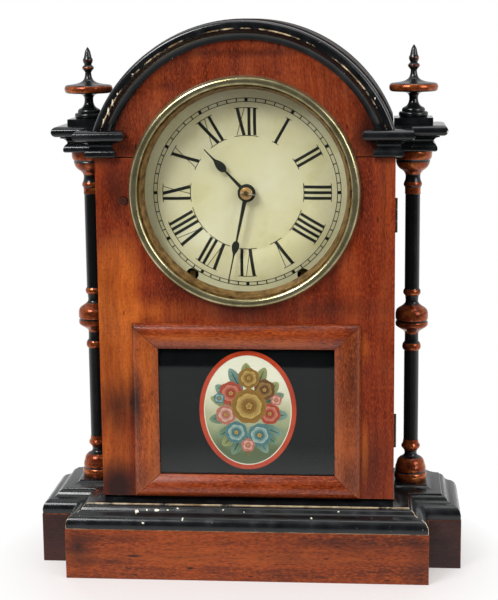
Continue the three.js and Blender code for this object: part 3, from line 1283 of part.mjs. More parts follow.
function gong() {
  const foot = rodY(GONG_FOOT_RADIUS, 0, 0, BACKBOARD_FRONT - GONG_FOOT, BACKBOARD_FRONT, 20);
  const half = GONG_BOSS / 2;
  const bossFront = GONG_Y - GONG_WIRE;
  const bossY = [bossFront, BACKBOARD_FRONT - GONG_FOOT + OVERLAP];
  const boss = box([-half, half], bossY, [-half, half]);
  addPiece("gong_block", foot.add(boss), EBONISED, [0, 0, GONG_Z]);

  const points = [];
  const lead = GONG_START_X + GONG_WIRE;
  points.push([GONG_START_X, 0, 0], [lead, 0, 0]);
  for (const bend of [0.33, 0.66]) {
    const angle = (bend * Math.PI) / 2;
    const x = lead + GONG_LEAD_RADIUS * Math.sin(angle);
    points.push([x, 0, GONG_LEAD_RADIUS * (1 - Math.cos(angle))]);
  }
  const start = gongStart();
  for (let i = 0; i <= GONG_STEPS * GONG_TURNS; i += 1) {
    const angle = start.angle + (i / GONG_STEPS) * 2 * Math.PI;
    const r = start.radius + (GONG_PITCH * i) / GONG_STEPS;
    points.push([r * Math.cos(angle), 0, r * Math.sin(angle)]);
  }
  const coil = wire(points, GONG_WIRE / 2, points.length - 1);
  addPiece("gong_coil", coil, BLUED_STEEL, [0, GONG_Y, GONG_Z]);

  // The least gap between turns, measured between points more than half a turn apart.
  let least = Infinity;
  for (let i = 0; i < points.length; i += 1) {
    for (let j = i + GONG_STEPS / 2; j < points.length; j += 1) {
      const apart = Math.hypot(points[i][0] - points[j][0], points[i][2] - points[j][2]);
      least = Math.min(least, apart - GONG_WIRE);
    }
  }
  console.log(`gong coil: least gap between turns ${least.toFixed(2)} mm`);
}

baseBoards();
baseMouldings();
platformBoard();
caseBox();
archFront();
entablature();
finial();
column();
dial();
doorBoard();
bezel();
tablet();
["lower", "upper"].forEach((name, i) => hinge(name, PLATFORM + HINGE_MIDDLES[i]));
doorCatch();
hands();
movementFrame(motionWork());
mainspring("time_mainspring", 1);
mainspring("strike_mainspring", -1);
greatWheel("time_great_wheel", 1);
greatWheel("strike_great_wheel", -1);
escapement();
hammer();
pendulum();
gong();

export default clock;
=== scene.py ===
# %% [markdown]
# # A round-top shelf clock
# The clock is a softwood case dressed in red-brown veneer. Its mouldings are polished black, its turned
# columns carry copper-coloured gilding, and a round brass bezel covers a painted tin dial. Below the bezel
# a glass tablet has a painting on its back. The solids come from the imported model, and this lesson gives
# each of them the shape, the wear and the finish that the eye would meet on the real clock.

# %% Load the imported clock
import math

import bmesh
import bpy
from mathutils import Matrix, Vector


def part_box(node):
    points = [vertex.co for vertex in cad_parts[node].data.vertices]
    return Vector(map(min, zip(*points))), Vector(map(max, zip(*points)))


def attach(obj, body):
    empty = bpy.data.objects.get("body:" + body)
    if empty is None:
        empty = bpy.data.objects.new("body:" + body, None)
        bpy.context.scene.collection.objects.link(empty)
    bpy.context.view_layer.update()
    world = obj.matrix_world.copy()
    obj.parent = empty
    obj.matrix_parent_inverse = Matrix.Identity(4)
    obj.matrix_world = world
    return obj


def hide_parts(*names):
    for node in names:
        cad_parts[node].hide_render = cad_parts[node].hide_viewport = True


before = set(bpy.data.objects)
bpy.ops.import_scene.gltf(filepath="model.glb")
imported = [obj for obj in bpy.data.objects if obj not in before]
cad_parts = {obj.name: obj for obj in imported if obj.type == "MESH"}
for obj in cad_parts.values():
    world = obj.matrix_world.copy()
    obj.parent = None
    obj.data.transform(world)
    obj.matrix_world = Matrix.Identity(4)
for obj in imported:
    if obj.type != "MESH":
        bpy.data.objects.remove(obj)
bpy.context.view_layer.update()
MM = 0.001
print("nodes in the packed clock:", len(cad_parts))

# %% [markdown]
# ## Places that several pieces share
# Everything is in metres, with +Z up and the front facing -Y. A few places come straight from the packed
# nodes, so that a new piece sits exactly where its solid sits.


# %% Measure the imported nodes
def span(node, axis):
    low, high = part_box(node)
    return low[axis] / MM, high[axis] / MM


def middle(node, axis):
    low, high = span(node, axis)
    return (low + high) / 2


PLATFORM = span("platform_board", 2)[1]
OGEE_LOW, OGEE_HIGH = span("ogee_moulding_front", 2)
DOOR_FRONT = span("door_board", 1)[0]
BEZEL_Z = middle("bezel_ring", 2)
BEZEL_BACK = span("bezel_ring", 1)[1]
DIAL_Z = middle("dial_plate", 2)
DIAL_FLAT = -9.2
ARCH_Z = span("arch_moulding", 2)[1] - 119
print("dial centre", round(DIAL_Z, 2), "bezel centre", round(BEZEL_Z, 2), "arch centre", round(ARCH_Z, 2))

# %% [markdown]
# ## Small helpers for modelling
# An operator acts on whatever is selected, and a freshly loaded model is selected all over. So every step
# begins by clearing the selection. The finished piece keeps its origin in the clock's own frame, rides on
# the body that carries it, and stands in for the plain node that it was made after.


# %% Select, finish and hand over
def clear_selection():
    if bpy.context.mode != "OBJECT":
        bpy.ops.object.mode_set(mode="OBJECT")
    bpy.ops.object.select_all(action="DESELECT")


def work_on(piece):
    clear_selection()
    piece.select_set(True)
    bpy.context.view_layer.objects.active = piece


def edit(piece):
    work_on(piece)
    bpy.ops.object.mode_set(mode="EDIT")
    bpy.ops.mesh.select_mode(type="VERT")
    bpy.ops.mesh.select_all(action="SELECT")


def pick(piece, kind, wanted):
    bpy.ops.mesh.select_mode(type=kind)
    bpy.ops.mesh.select_all(action="DESELECT")
    shape = bmesh.from_edit_mesh(piece.data)
    for item in {"VERT": shape.verts, "EDGE": shape.edges, "FACE": shape.faces}[kind]:
        item.select_set(wanted(item))
    bmesh.update_edit_mesh(piece.data)


def bring_in(name, data):
    piece = bpy.data.objects.new(name, data)
    bpy.context.scene.collection.objects.link(piece)
    return piece


def apply_placing():
    bpy.ops.object.transform_apply(location=True, rotation=True, scale=True)


def join(pieces):
    clear_selection()
    for piece in pieces:
        piece.select_set(True)
    bpy.context.view_layer.objects.active = pieces[0]
    bpy.ops.object.join()
    apply_placing()
    return bpy.context.active_object


def settle(piece, name, angle=35):
    work_on(piece)
    apply_placing()
    bpy.ops.object.shade_smooth_by_angle(angle=math.radians(angle))
    piece.name = name
    piece.data.name = name
    return piece


def hand_over(piece, body, finish, *nodes):
    piece.data.materials.clear()
    piece.data.materials.append(finish)
    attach(piece, body)
    if nodes:
        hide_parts(*nodes)
    print(piece.name, "faces:", len(piece.data.polygons), "rides on", body)


def apply_modifier(piece, kind, **settings):
    work_on(piece)
    modifier = piece.modifiers.new(kind.title(), kind)
    for key, value in settings.items():
        setattr(modifier, key, value)
    bpy.ops.object.modifier_apply(modifier=modifier.name)


# %% [markdown]
# ## Turning on the lathe
# Columns, finials, the bezel and the dial are all turned. A turner holds up a template of half the outline,
# so the helper takes that outline as straight runs and curves, lays it beside the axis and spins it round.
# Spin can leave a surface inside out, so the seam is merged and the normals are worked out again.


# %% Draw an outline and spin it
def outline(start, *moves, steps=6):
    """Each move holds the end of a straight run, or the handles and the end of a curve."""
    points = [start]
    for move in moves:
        ends = [points[-1], *zip(move[::2], move[1::2])]
        count = 1 if len(ends) == 2 else steps
        for i in range(1, count + 1):
            t = i / count
            row = ends
            while len(row) > 1:
                row = [tuple((1 - t) * a + t * b for a, b in zip(p, q)) for p, q in zip(row, row[1:])]
            points.append(row[0])
    return points


def spin_piece(name, points, centre, axis, steps=96, closed=False):
    """points are (radius, distance along the axis) in millimetres."""
    side = Vector((1, 0, 0))
    along = Vector(axis)
    origin = Vector(centre) * MM
    places = [origin + side * r * MM + along * h * MM for r, h in points]
    edges = [(i, i + 1) for i in range(len(places) - 1)]
    if closed:
        edges.append((len(places) - 1, 0))
    mesh = bpy.data.meshes.new(name)
    mesh.from_pydata(places, edges, [])
    piece = bring_in(name, mesh)
    edit(piece)
    bpy.ops.mesh.spin(steps=steps, angle=2 * math.pi, center=origin, axis=along)
    bpy.ops.mesh.select_all(action="SELECT")
    bpy.ops.mesh.remove_doubles(threshold=1e-6)
    bpy.ops.mesh.normals_make_consistent(inside=False)
    return settle(piece, name)


# %% [markdown]
# ## Colours and nodes
# Colours are written as sRGB hex values, the way a paint chart gives them, and turned into linear light in
# one place. One function adds any shader node, sets it and links it. The kinds of node that come up most
# often, such as noise, sums and colour ramps, have a short name of their own.


# %% Add a node
def linear(code):
    parts = [int(code[i : i + 2], 16) / 255 for i in (1, 3, 5)]
    return (*[c / 12.92 if c <= 0.04045 else ((c + 0.055) / 1.055) ** 2.4 for c in parts], 1.0)


def add(material, kind, inputs=None, stops=None, **settings):
    tree = material.node_tree
    made = tree.nodes.new("ShaderNode" + kind)
    for key, value in settings.items():
        setattr(made, key, value)
    if stops:
        elements = made.color_ramp.elements
        while len(elements) < len(stops):
            elements.new(0.5)
        for spot, (position, colour) in zip(elements, sorted(stops)):
            spot.position = position
            spot.color = linear(colour) if isinstance(colour, str) else (colour,) * 3 + (1.0,)
    for key, value in (inputs or {}).items():
        sockets = [s for s in made.inputs if s.enabled and s.name == key]
        socket = made.inputs[key] if isinstance(key, int) else sockets[0]
        if isinstance(value, bpy.types.Node):
            value = [s for s in value.outputs if s.enabled][0]
        if isinstance(value, bpy.types.NodeSocket):
            tree.links.new(value, socket)
        else:
            socket.default_value = linear(value) if isinstance(value, str) else value
    return made


def maths(material, operation, *values):
    return add(material, "Math", dict(enumerate(values)), operation=operation)


def mix(material, factor, first, second, data_type="RGBA"):
    return add(material, "Mix", {"Factor": factor, "A": first, "B": second}, data_type=data_type)


def noise(material, place, scale, detail, roughness=0.5):
    inputs = {"Vector": place, "Scale": scale, "Detail": detail, "Roughness": roughness}
    return add(material, "TexNoise", inputs)


def ramp(material, value, *stops):
    """A stop is a position with a colour or a grey value."""
    return add(material, "ValToRGB", {"Fac": value}, stops)


def spread(material, value, low, high, to_low=0.0, to_high=1.0):
    ends = {"From Min": low, "From Max": high, "To Min": to_low, "To Max": to_high}
    return add(material, "MapRange", {"Value": value, **ends})


def surface(material, inputs):
    add(material, "OutputMaterial", {"Surface": add(material, "BsdfPrincipled", inputs)})
    return material


def new_material(name):
    material = bpy.data.materials.new(name)
    material.use_nodes = True
    material.node_tree.nodes.clear()
    return material


# %% [markdown]
# ## Stains and painted shade in their places
# A stain on a polished board lies where something happened to it, so it is placed and not left to chance.
# The same placed marks also lay painted shade on the door below the bezel and on the arch board below the arch
# moulding. A sphere gradient, moved and stretched to the mark's place and size, fades from its middle to its
# rim. The marks of one board are added up, and noise tears their outline.


# %% Place stains and painted shade
def placed_marks(material, place, spots, cloud, tear=1.1):
    """spots are (x, z, half width, half height, strength) in millimetres."""
    total = 0.0
    for x, z, half_width, half_height, strength in spots:
        fitted = add(
            material, "Mapping",
            {
                "Vector": place, "Location": (x * MM, DOOR_FRONT * MM, z * MM),
                "Scale": (half_width * MM, 1.0, half_height * MM),
            },
            vector_type="TEXTURE",
        )
        soft = add(material, "TexGradient", {"Vector": fitted}, gradient_type="SPHERICAL")
        total = maths(material, "MULTIPLY_ADD", soft.outputs["Fac"], strength, total)
    torn = maths(material, "MULTIPLY_ADD", cloud, tear, total)
    return spread(material, torn, 0.5 * tear + 0.05, 0.5 * tear + 1.3)


# %% [markdown]
# ## Polished veneer
# The red-brown veneer is thin mahogany, rubbed with coloured shellac. Its grain runs as long streaks about
# two millimetres wide, crossed by broad soft bands, and open pores show as short dark dashes. Sun has turned
# parts of it orange, and hands, smoke and water have left dark marks. Some dark marks are painted shade: on
# the door below the bezel and on the arch board below the arch moulding. The streaks are noise stretched along
# the grain, so a board is told which way its grain runs.


# %% Veneer
def veneer(
    name, grain, shades, offset=0.0, stain=0.5, dark=(), pale=(), gloss_range=(0.28, 0.42), specular=0.3
):
    finish = new_material(name)
    place = add(finish, "TexCoord").outputs["Object"]
    sway = noise(finish, place, 14.0, 1.0)
    swayed = add(
        finish, "VectorMath", {0: sway.outputs["Color"], 1: (0.012, 0.012, 0.012), 2: place},
        operation="MULTIPLY_ADD",
    )
    stretch = {"x": (0.055, 1, 1), "z": (1, 1, 0.055)}[grain]
    along = add(
        finish, "Mapping",
        {"Vector": swayed, "Scale": stretch, "Location": (offset, offset * 0.7, offset * 1.3)},
    )
    bands = noise(finish, along, 60.0, 2.0)
    streaks = noise(finish, along, 480.0, 4.0, 0.65)
    fibres = noise(finish, along, 1500.0, 2.0)
    cloud = noise(finish, swayed, 32.0, 5.0, 0.6)
    wide = maths(finish, "MULTIPLY", bands, 0.4)
    close = maths(finish, "MULTIPLY_ADD", streaks, 0.25, wide)
    fine = maths(finish, "MULTIPLY_ADD", fibres, 0.15, close)
    mixed = maths(finish, "MULTIPLY_ADD", cloud, 0.2, fine)
    low, mid, high = shades
    wood = ramp(finish, mixed, (0.38, low), (0.5, mid), (0.62, high))
    faded = wood
    if pale:
        sunned = ramp(finish, mixed, (0.38, "#843410"), (0.62, "#cc6a22"))
        faded = mix(finish, placed_marks(finish, place, pale, cloud, 0.5), wood, sunned)
    pore_place = add(
        finish, "Mapping", {"Vector": place, "Scale": {"x": (0.3, 1, 1), "z": (1, 1, 0.3)}[grain]}
    )
    pores = noise(finish, pore_place, 1150.0, 3.0)
    flecks = ramp(finish, pores, (0.34, 0.7), (0.48, 0.0))
    flecked = mix(finish, flecks, faded, high)
    blotch = noise(finish, along, 42.0, 6.0, 0.7)
    stained = ramp(finish, blotch, (0.5, 0.0), (0.72, stain))
    aged_and_shaded = mix(finish, stained, flecked, "#35110a")
    # Dark marks: stains, and on the door below the bezel and the arch board below the arch moulding, painted
    # shade.
    if dark:
        aged_and_shaded = mix(finish, placed_marks(finish, place, dark, cloud), aged_and_shaded, "#2a100b")
    open_pores = ramp(finish, pores, (0.52, 0.0), (0.7, 0.5))
    nicks = add(finish, "TexVoronoi", {"Vector": pore_place, "Scale": 130.0})
    nick = ramp(finish, nicks, (0.06, 0.8), (0.12, 0.0))
    marks = maths(finish, "MAXIMUM", open_pores, nick)
    pored = mix(finish, marks, aged_and_shaded, "#260c06")
    rubbed = add(finish, "Attribute", attribute_name="edge")
    patchy = noise(finish, place, 160.0, 3.0)
    rub = ramp(finish, patchy, (0.52, 0.1), (0.66, 0.7))
    worn = maths(finish, "MULTIPLY", rubbed.outputs["Fac"], rub)
    colour = mix(finish, worn, pored, "#9a5634")
    relief = maths(finish, "SUBTRACT", streaks, open_pores)
    bump = add(finish, "Bump", {"Strength": 0.16, "Distance": 0.0003, "Height": relief})
    gloss = ramp(finish, cloud, (0.35, gloss_range[0]), (0.65, gloss_range[1]))
    return surface(
        finish, {"Base Color": colour, "Roughness": gloss, "Normal": bump, "Specular IOR Level": specular}
    )


# Dark marks on the door. Most are stains and grime, but the three at (0, 207), (70, 212) and (-40, 222) are
# painted shade in the strip between the bezel and the tablet frame.
DOOR_STAINS_AND_BEZEL_SHADE = (
    (-100, 134, 22, 30, 1.0), (-101, 68, 24, 26, 1.8), (-86, 136, 6, 34, 1.0), (0, 207, 66, 12, 0.8),
    (96, 84, 20, 40, 0.7), (-96, 300, 18, 30, 0.9), (70, 212, 50, 12, 0.6), (-40, 222, 40, 14, 0.7),
)
DOOR_PALE = (
    (-104, 186, 28, 80, 2.6), (-96, 240, 20, 36, 1.4), (-104, 96, 18, 34, 2.0), (91, 98, 3.5, 34, 1.8),
    (91, 180, 5, 14, 1.2), (-66, 206, 34, 14, 1.3),
)
STILE_DARK = (
    (-85, 136, 8, 34, 1.5), (-83, 78, 12, 16, 0.7), (-84, 196, 12, 10, 0.8), (79, 150, 12, 50, 0.7),
    (80, 78, 14, 22, 0.9),
)
STILE_PALE = ((-72, 120, 8, 70, 1.4), (-76, 172, 12, 30, 1.2), (70, 104, 7, 24, 1.0), (72, 80, 5, 14, 0.9))
RAIL_PALE = ((-30, 186, 90, 7, 1.6), (20, 182, 60, 5, 1.2))
RAIL_DARK = ((30, 197, 60, 6, 0.6), (84, 190, 16, 20, 0.9), (-82, 192, 10, 12, 0.8), (0, 62, 90, 5, 0.8))
PLINTH_DARK = (
    (-130, 26, 20, 22, 1.3), (-104, 14, 30, 5, 0.9), (-87, 19, 9, 1.6, 1.9), (-43, 10, 4, 1.4, 1.8),
    (133, 12, 16, 24, 0.8), (72, 32, 60, 6, 0.7), (-100, 33, 40, 5, 0.8), (128, 34, 16, 8, 0.8),
)
# Painted shade on the arch board, laid along the inner edge of the arch moulding.
FASCIA_PAINTED_SHADE = (
    (0, 402, 70, 5, 0.9), (-92, 342, 12, 24, 0.7), (92, 342, 12, 26, 1.4), (-60, 378, 16, 6, 0.8)
)
DOOR_VENEER = veneer(
    "Mahogany veneer, door", "z", ("#541808", "#77270c", "#933f17"), 0.0, 0.55, DOOR_STAINS_AND_BEZEL_SHADE, DOOR_PALE
)
FASCIA_VENEER = veneer(
    "Mahogany veneer, arch", "z", ("#4e1807", "#742a0f", "#8f421c"), 0.4, 0.5, FASCIA_PAINTED_SHADE
)
PLINTH_VENEER = veneer(
    "Mahogany veneer, plinth", "x", ("#58220c", "#863814", "#a34e20"), 0.8, 0.6, PLINTH_DARK
)
SIDE_VENEER = veneer("Mahogany veneer, plinth sides", "x", ("#2a1411", "#381d19", "#44241f"), 1.2, 0.3)
RAIL_VENEER = veneer(
    "Mahogany veneer, tablet rails", "x", ("#5c200b", "#863412", "#a74e20"), 1.6, 0.5, RAIL_DARK, RAIL_PALE,
    (0.16, 0.3), 0.5,
)
STILE_VENEER = veneer(
    "Mahogany veneer, tablet stiles", "z", ("#60270d", "#8c3e18", "#ac5a2a"), 2.0, 0.5, STILE_DARK,
    STILE_PALE, (0.2, 0.32), 0.45,
)
print("veneers:", 6)

# %% [markdown]
# ## Black polish, worn through
# The mouldings are softwood painted black and polished to look like ebony. The polish is thin. Along sharp
# edges it has rubbed off down to the pale ground, and a few chips show the same cream colour.


# %% Ebonised wood
def ebonised(name, wear, chip_share, chips_at=(), gloss_range=(0.13, 0.27)):
    finish = new_material(name)
    place = add(finish, "TexCoord").outputs["Object"]
    mottle = noise(finish, place, 90.0, 5.0)
    black = ramp(finish, mottle, (0.35, "#0e0f10"), (0.55, "#16181a"), (0.75, "#222426"))
    rubbed = add(finish, "Attribute", attribute_name="edge")
    patchy = noise(finish, place, 55.0, 5.0, 0.7)
    rub = ramp(finish, patchy, (wear, 0.0), (wear + 0.1, 1.0))
    worn = maths(finish, "MULTIPLY", rubbed.outputs["Fac"], rub)
    ground = ramp(finish, mottle, (0.35, "#8a6a4a"), (0.6, "#d8c39c"))
    edged = mix(finish, worn, black, ground)
    cells = add(finish, "TexVoronoi", {"Vector": place, "Scale": 110.0})
    ragged = noise(finish, place, 700.0, 2.0)
    reach = maths(finish, "MULTIPLY_ADD", ragged, 0.3, cells)
    spot = ramp(finish, reach, (0.22, 1.0), (0.25, 0.0))
    chosen = add(finish, "SeparateColor", {"Color": cells.outputs["Color"]})
    few = maths(finish, "GREATER_THAN", chosen.outputs[0], 1 - chip_share)
    chips = maths(finish, "MULTIPLY", spot, few)
    if chips_at:
        placed = placed_marks(finish, place, chips_at, ragged, 2.2)
        crisp = ramp(finish, placed, (0.42, 0.0), (0.5, 1.0))
        chips = maths(finish, "MAXIMUM", chips, crisp)
    colour = mix(finish, chips, edged, "#e2dcc6")
    brush = noise(finish, place, 700.0, 4.0)
    bump = add(finish, "Bump", {"Strength": 0.14, "Distance": 0.0002, "Height": brush})
    gloss = ramp(finish, mottle, (0.3, gloss_range[0]), (0.7, gloss_range[1]))
    return surface(finish, {"Base Color": colour, "Roughness": gloss, "Normal": bump, "IOR": 1.5})


OGEE_CHIPS = (
    (-85.2, 51.9, 2.1, 2.1, 1.5), (-77.3, 52.6, 1.1, 0.9, 1.4), (-69.6, 52.6, 3.4, 1.3, 1.6),
    (-61, 52.9, 1.2, 0.8, 1.4), (-53.2, 54.0, 1.5, 0.8, 1.3), (-79, 45.5, 1.3, 1.1, 1.4),
    (-48.7, 48.3, 1.0, 1.4, 1.5), (-17.8, 53.6, 1.3, 0.8, 1.3), (-1.7, 52.3, 1.2, 0.7, 1.3),
    (70.9, 53.6, 1.2, 1.0, 1.4), (50.5, 50.0, 1.2, 0.7, 1.2),
)
ARCH_CHIPS = (
    (-99.8, 359.5, 1.0, 5.0, 1.5), (-96.4, 366.0, 0.9, 4.0, 1.5), (-103.6, 353.0, 0.8, 3.0, 1.5),
    (-92.5, 372.5, 0.8, 1.6, 1.4), (-81.0, 387.0, 1.0, 0.7, 1.3), (97.6, 368.3, 0.8, 1.2, 1.3),
)
BLOCK_CHIPS = ((126.5, 338.5, 2.0, 1.8, 1.2), (152.3, 340.5, 0.8, 1.6, 1.2))
BASE_BLACK = ebonised("Black polish, base", 0.38, 0.008, OGEE_CHIPS)
SIDE_BLACK = ebonised("Black polish, base sides", 0.58, 0.01)
ARCH_BLACK = ebonised("Black polish, arch", 0.48, 0.008, ARCH_CHIPS, (0.1, 0.2))
BLOCK_BLACK = ebonised("Black polish, blocks", 0.6, 0.012, BLOCK_CHIPS, (0.07, 0.16))
print("black finishes:", 4)

# %% [markdown]
# ## Gilding on the turnings
# The columns and finials are turned wood, painted black, with the beads and bulbs coloured by bronze powder
# in varnish. That gilding has gone a reddish copper, brighter where hands have rubbed it. Each turned piece
# carries an attribute called gilt, which says how much of the colour lies there, and noise breaks up the
# borders. On the columns the black left in the narrow grooves and necks is also painted shade.

# %% Copper gilding over black
gilding = new_material("Bronze-powder gilding on black")
place = add(gilding, "TexCoord").outputs["Object"]
amount = add(gilding, "Attribute", attribute_name="gilt")
cloud = noise(gilding, place, 120.0, 6.0, 0.7)
specks = noise(gilding, place, 620.0, 3.0, 0.6)
broken = maths(gilding, "MULTIPLY_ADD", cloud, 0.6, amount.outputs["Fac"])
laid = ramp(gilding, broken, (0.78, 0.0), (1.15, 1.0))
tarnish = maths(gilding, "MULTIPLY_ADD", specks, 0.45, cloud)
copper = ramp(gilding, tarnish, (0.5, "#3a170d"), (0.68, "#82371c"), (0.9, "#b0622e"), (1.1, "#e0a050"))
colour = mix(gilding, laid, "#101112", copper)
metal = maths(gilding, "MULTIPLY", laid, 0.65)
gloss = ramp(gilding, cloud, (0.3, 0.28), (0.7, 0.15))
bump = add(gilding, "Bump", {"Strength": 0.2, "Distance": 0.0003, "Height": tarnish})
surface(gilding, {"Base Color": colour, "Metallic": metal, "Roughness": gloss, "Normal": bump})
print("made", gilding.name)

# %% [markdown]
# ## Plain metals, paint and inside wood
# The bezel is spun brass that has gone olive where it is never polished. The sight ring behind it is thinner
# and browner, with dark scuffs. The movement's back plate is dull sheet brass, and the steel is grey or blued.
# The front plate takes the near-black brass of the hinges, as painted shade where it lies in the dark behind
# the
# dial. All of them are one recipe: a metal whose colour and gloss drift with a soft noise.


# %% Drifting metal and painted surfaces
def drifting(name, shades, gloss_range, metallic, size, bump_strength=0.08, coat=0.0, specular=0.5):
    finish = new_material(name)
    place = add(finish, "TexCoord").outputs["Object"]
    drift = noise(finish, place, 1 / size, 6.0, 0.65)
    span_of = [0.32 + 0.36 * i / (len(shades) - 1) for i in range(len(shades))]
    colour = ramp(finish, drift, *zip(span_of, shades))
    gloss = ramp(finish, drift, (0.3, gloss_range[0]), (0.7, gloss_range[1]))
    grit = noise(finish, place, 1600.0, 2.0)
    bump = add(finish, "Bump", {"Strength": bump_strength, "Distance": 0.0002, "Height": grit})
    return surface(
        finish,
        {
            "Base Color": colour, "Roughness": gloss, "Metallic": metallic, "Normal": bump,
            "Coat Weight": coat, "Coat Roughness": 0.12, "Specular IOR Level": specular,
        },
    )


BEZEL_BRASS = drifting(
    "Spun brass, olive with age", ("#7e7752", "#aaa27a", "#d0c69c"), (0.3, 0.17), 0.86, 0.02
)
SIGHT_BROWN = drifting(
    "Lacquered brass, browned", ("#4a2e17", "#926a38", "#b48f58"), (0.5, 0.3), 0.6, 0.006
)
WASHER_BRASS = drifting("Bright brass", ("#a97f48", "#caa066", "#e2c08e"), (0.4, 0.28), 0.35, 0.004)
PIN_STEEL = drifting("Bright steel pin", ("#8a867c", "#a8a398", "#c6c1b4"), (0.4, 0.28), 0.3, 0.004)
BLACKENED_BRASS_AND_SHADE = drifting("Brass, blackened, and painted shade", ("#16130e", "#2a2418", "#6a5630"), (0.5, 0.3), 0.6, 0.004)
PLATE_BRASS = drifting("Dull sheet brass", ("#8a743c", "#b59a58", "#cdb478"), (0.45, 0.3), 1.0, 0.03)
GREY_STEEL = drifting("Grey steel", ("#55595b", "#7a7f82", "#94999b"), (0.45, 0.3), 1.0, 0.02)
BLUED_STEEL = drifting(
    "Blued steel, nearly black", ("#2a2c28", "#343630", "#42443c"), (0.42, 0.3), 0.35, 0.01
)
CAST_BLACK = drifting(
    "Black japanned iron", ("#141414", "#1d1d1e", "#2a2a2b"), (0.5, 0.35), 0.0, 0.004, 0.3
)
DIAL_PAINT = drifting(
    "Cream paint on tin", ("#dad2a0", "#e6dfb6", "#ebe6c6"), (0.32, 0.22), 0.0, 0.035, 0.03, 0.8
)
DIAL_INK = drifting("Printing ink", ("#14160f", "#1c1f18", "#262a22"), (0.5, 0.4), 0.0, 0.004)
CATCH_BROWN = drifting(
    "Dark wooden plug", ("#26100a", "#38170d", "#4e2213"), (0.8, 0.65), 0.0, 0.0015, 0.3, specular=0.2
)
CASE_WOOD = veneer("Dark stained softwood, case", "z", ("#1c0d09", "#2d1812", "#40251b"), 2.5, 0.4)
ROOF_WOOD = veneer(
    "Dark stained softwood, roof", "x", ("#0e0908", "#17100e", "#241915"), 2.7, 0.3, gloss_range=(0.5, 0.65)
)
PLAIN_WOOD = veneer(
    "Bare softwood", "z", ("#8a6238", "#a67c4b", "#bd955f"), 3.0, 0.25, gloss_range=(0.6, 0.75)
)
BARE_RAIL = veneer(
    "Bare softwood, rail", "x", ("#83603a", "#9e774a", "#b58f5e"), 3.3, 0.25, gloss_range=(0.6, 0.75)
)
print("metals, paints and inside woods made")

# %% [markdown]
# ## Clear glass
# Old window glass is thin, so it hardly bends what is seen through it. It is drawn as a clear film that
# mirrors 4 % of the room, and nearly all of it at a glancing angle. The share follows the fifth power of the
# facing value, because the Fresnel node would turn light away as it leaves a film that doesn't bend it.

# %% Clear glass
GLASS = new_material("Thin clear glass")
facing = add(GLASS, "LayerWeight", {"Blend": 0.5}).outputs["Facing"]
glancing = maths(GLASS, "POWER", facing, 5.0)
mirrored_share = maths(GLASS, "MULTIPLY_ADD", glancing, 0.96, 0.04)
clear = add(GLASS, "BsdfTransparent", {"Color": (0.97, 0.98, 0.97, 1)})
shine = add(GLASS, "BsdfAnisotropic", {"Color": (1, 1, 1, 1), "Roughness": 0.02})
both = add(GLASS, "MixShader", {0: mirrored_share, 1: clear, 2: shine})
add(GLASS, "OutputMaterial", {"Surface": both})
print("made", GLASS.name)

# %% [markdown]
# ## Slots of the record
# The table below lists which of those names each finish stands for.

# %% Say which finish belongs to which slot
FINISHES = {
    "veneer": (DOOR_VENEER, FASCIA_VENEER, PLINTH_VENEER, SIDE_VENEER, RAIL_VENEER, STILE_VENEER),
    "ebonised": (BASE_BLACK, SIDE_BLACK, ARCH_BLACK, BLOCK_BLACK),
    "dark_wood": (CASE_WOOD, ROOF_WOOD, CATCH_BROWN), "pine": (PLAIN_WOOD, BARE_RAIL),
    "brass": (BEZEL_BRASS, PLATE_BRASS, WASHER_BRASS, BLACKENED_BRASS_AND_SHADE), "dial_enamel": (DIAL_PAINT, DIAL_INK),
    "steel": (PIN_STEEL, GREY_STEEL), "gilt_wood": (gilding,), "gilt_metal": (SIGHT_BROWN,),
    "blued_steel": (BLUED_STEEL,), "cast_iron": (CAST_BLACK,), "clear_glass": (GLASS,),
}
for slot_name, finishes in FINISHES.items():
    dict.fromkeys(finishes, slot_name)

# %% [markdown]
# ## Boards and mouldings
# A joiner never leaves an edge knife-sharp, and a hundred years round it further. Each board is a copy of
# its solid: the loose triangles are merged, flat faces are joined again, and every sharp edge gets a narrow
# bevel. The bevel puts its new faces in a second slot for a moment, so that they can be given an attribute
# called edge, and the finishes read that to know where the polish may have worn through. Weighted normals
# then keep the wide faces flat to the eye, so that only the narrow bevel catches the light.


# %% Ease the edges of a board
def ease_edges(node, body, finish, width=0.5, worn_before=1.0):
    """width is in millimetres. Edges further back than worn_before, in metres, stay unworn."""
    piece = bring_in(node + "_eased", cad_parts[node].data.copy())
    piece.data.materials.clear()
    for slot_finish in (finish, None):
        piece.data.materials.append(slot_finish)
    edit(piece)
    bpy.ops.mesh.customdata_custom_splitnormals_clear()
    bpy.ops.mesh.remove_doubles(threshold=1e-6)
    bpy.ops.mesh.dissolve_limited(angle_limit=math.radians(0.5))
    bpy.ops.mesh.select_mode(type="EDGE")
    bpy.ops.mesh.select_all(action="DESELECT")
    bpy.ops.mesh.edges_select_sharp(sharpness=math.radians(34))
    bpy.ops.mesh.bevel(offset=width * MM, segments=2, profile=0.6, clamp_overlap=True, material=1)
    bpy.ops.object.mode_set(mode="OBJECT")
    worn = piece.data.attributes.new("edge", "FLOAT", "CORNER")
    for face in piece.data.polygons:
        for corner in face.loop_indices:
            worn.data[corner].value = float(face.material_index and face.center.y < worn_before)
        face.material_index = 0
    settle(piece, node + "_eased", 32)
    apply_modifier(piece, "WEIGHTED_NORMAL", keep_sharp=True)
    hand_over(piece, body, finish, node)


# %% [markdown]
# ## The base
# The wide front board is veneered, and the stepped sides are darker. The black moulding and the platform on
# it are worn most along the front, where hands and dusters reach.

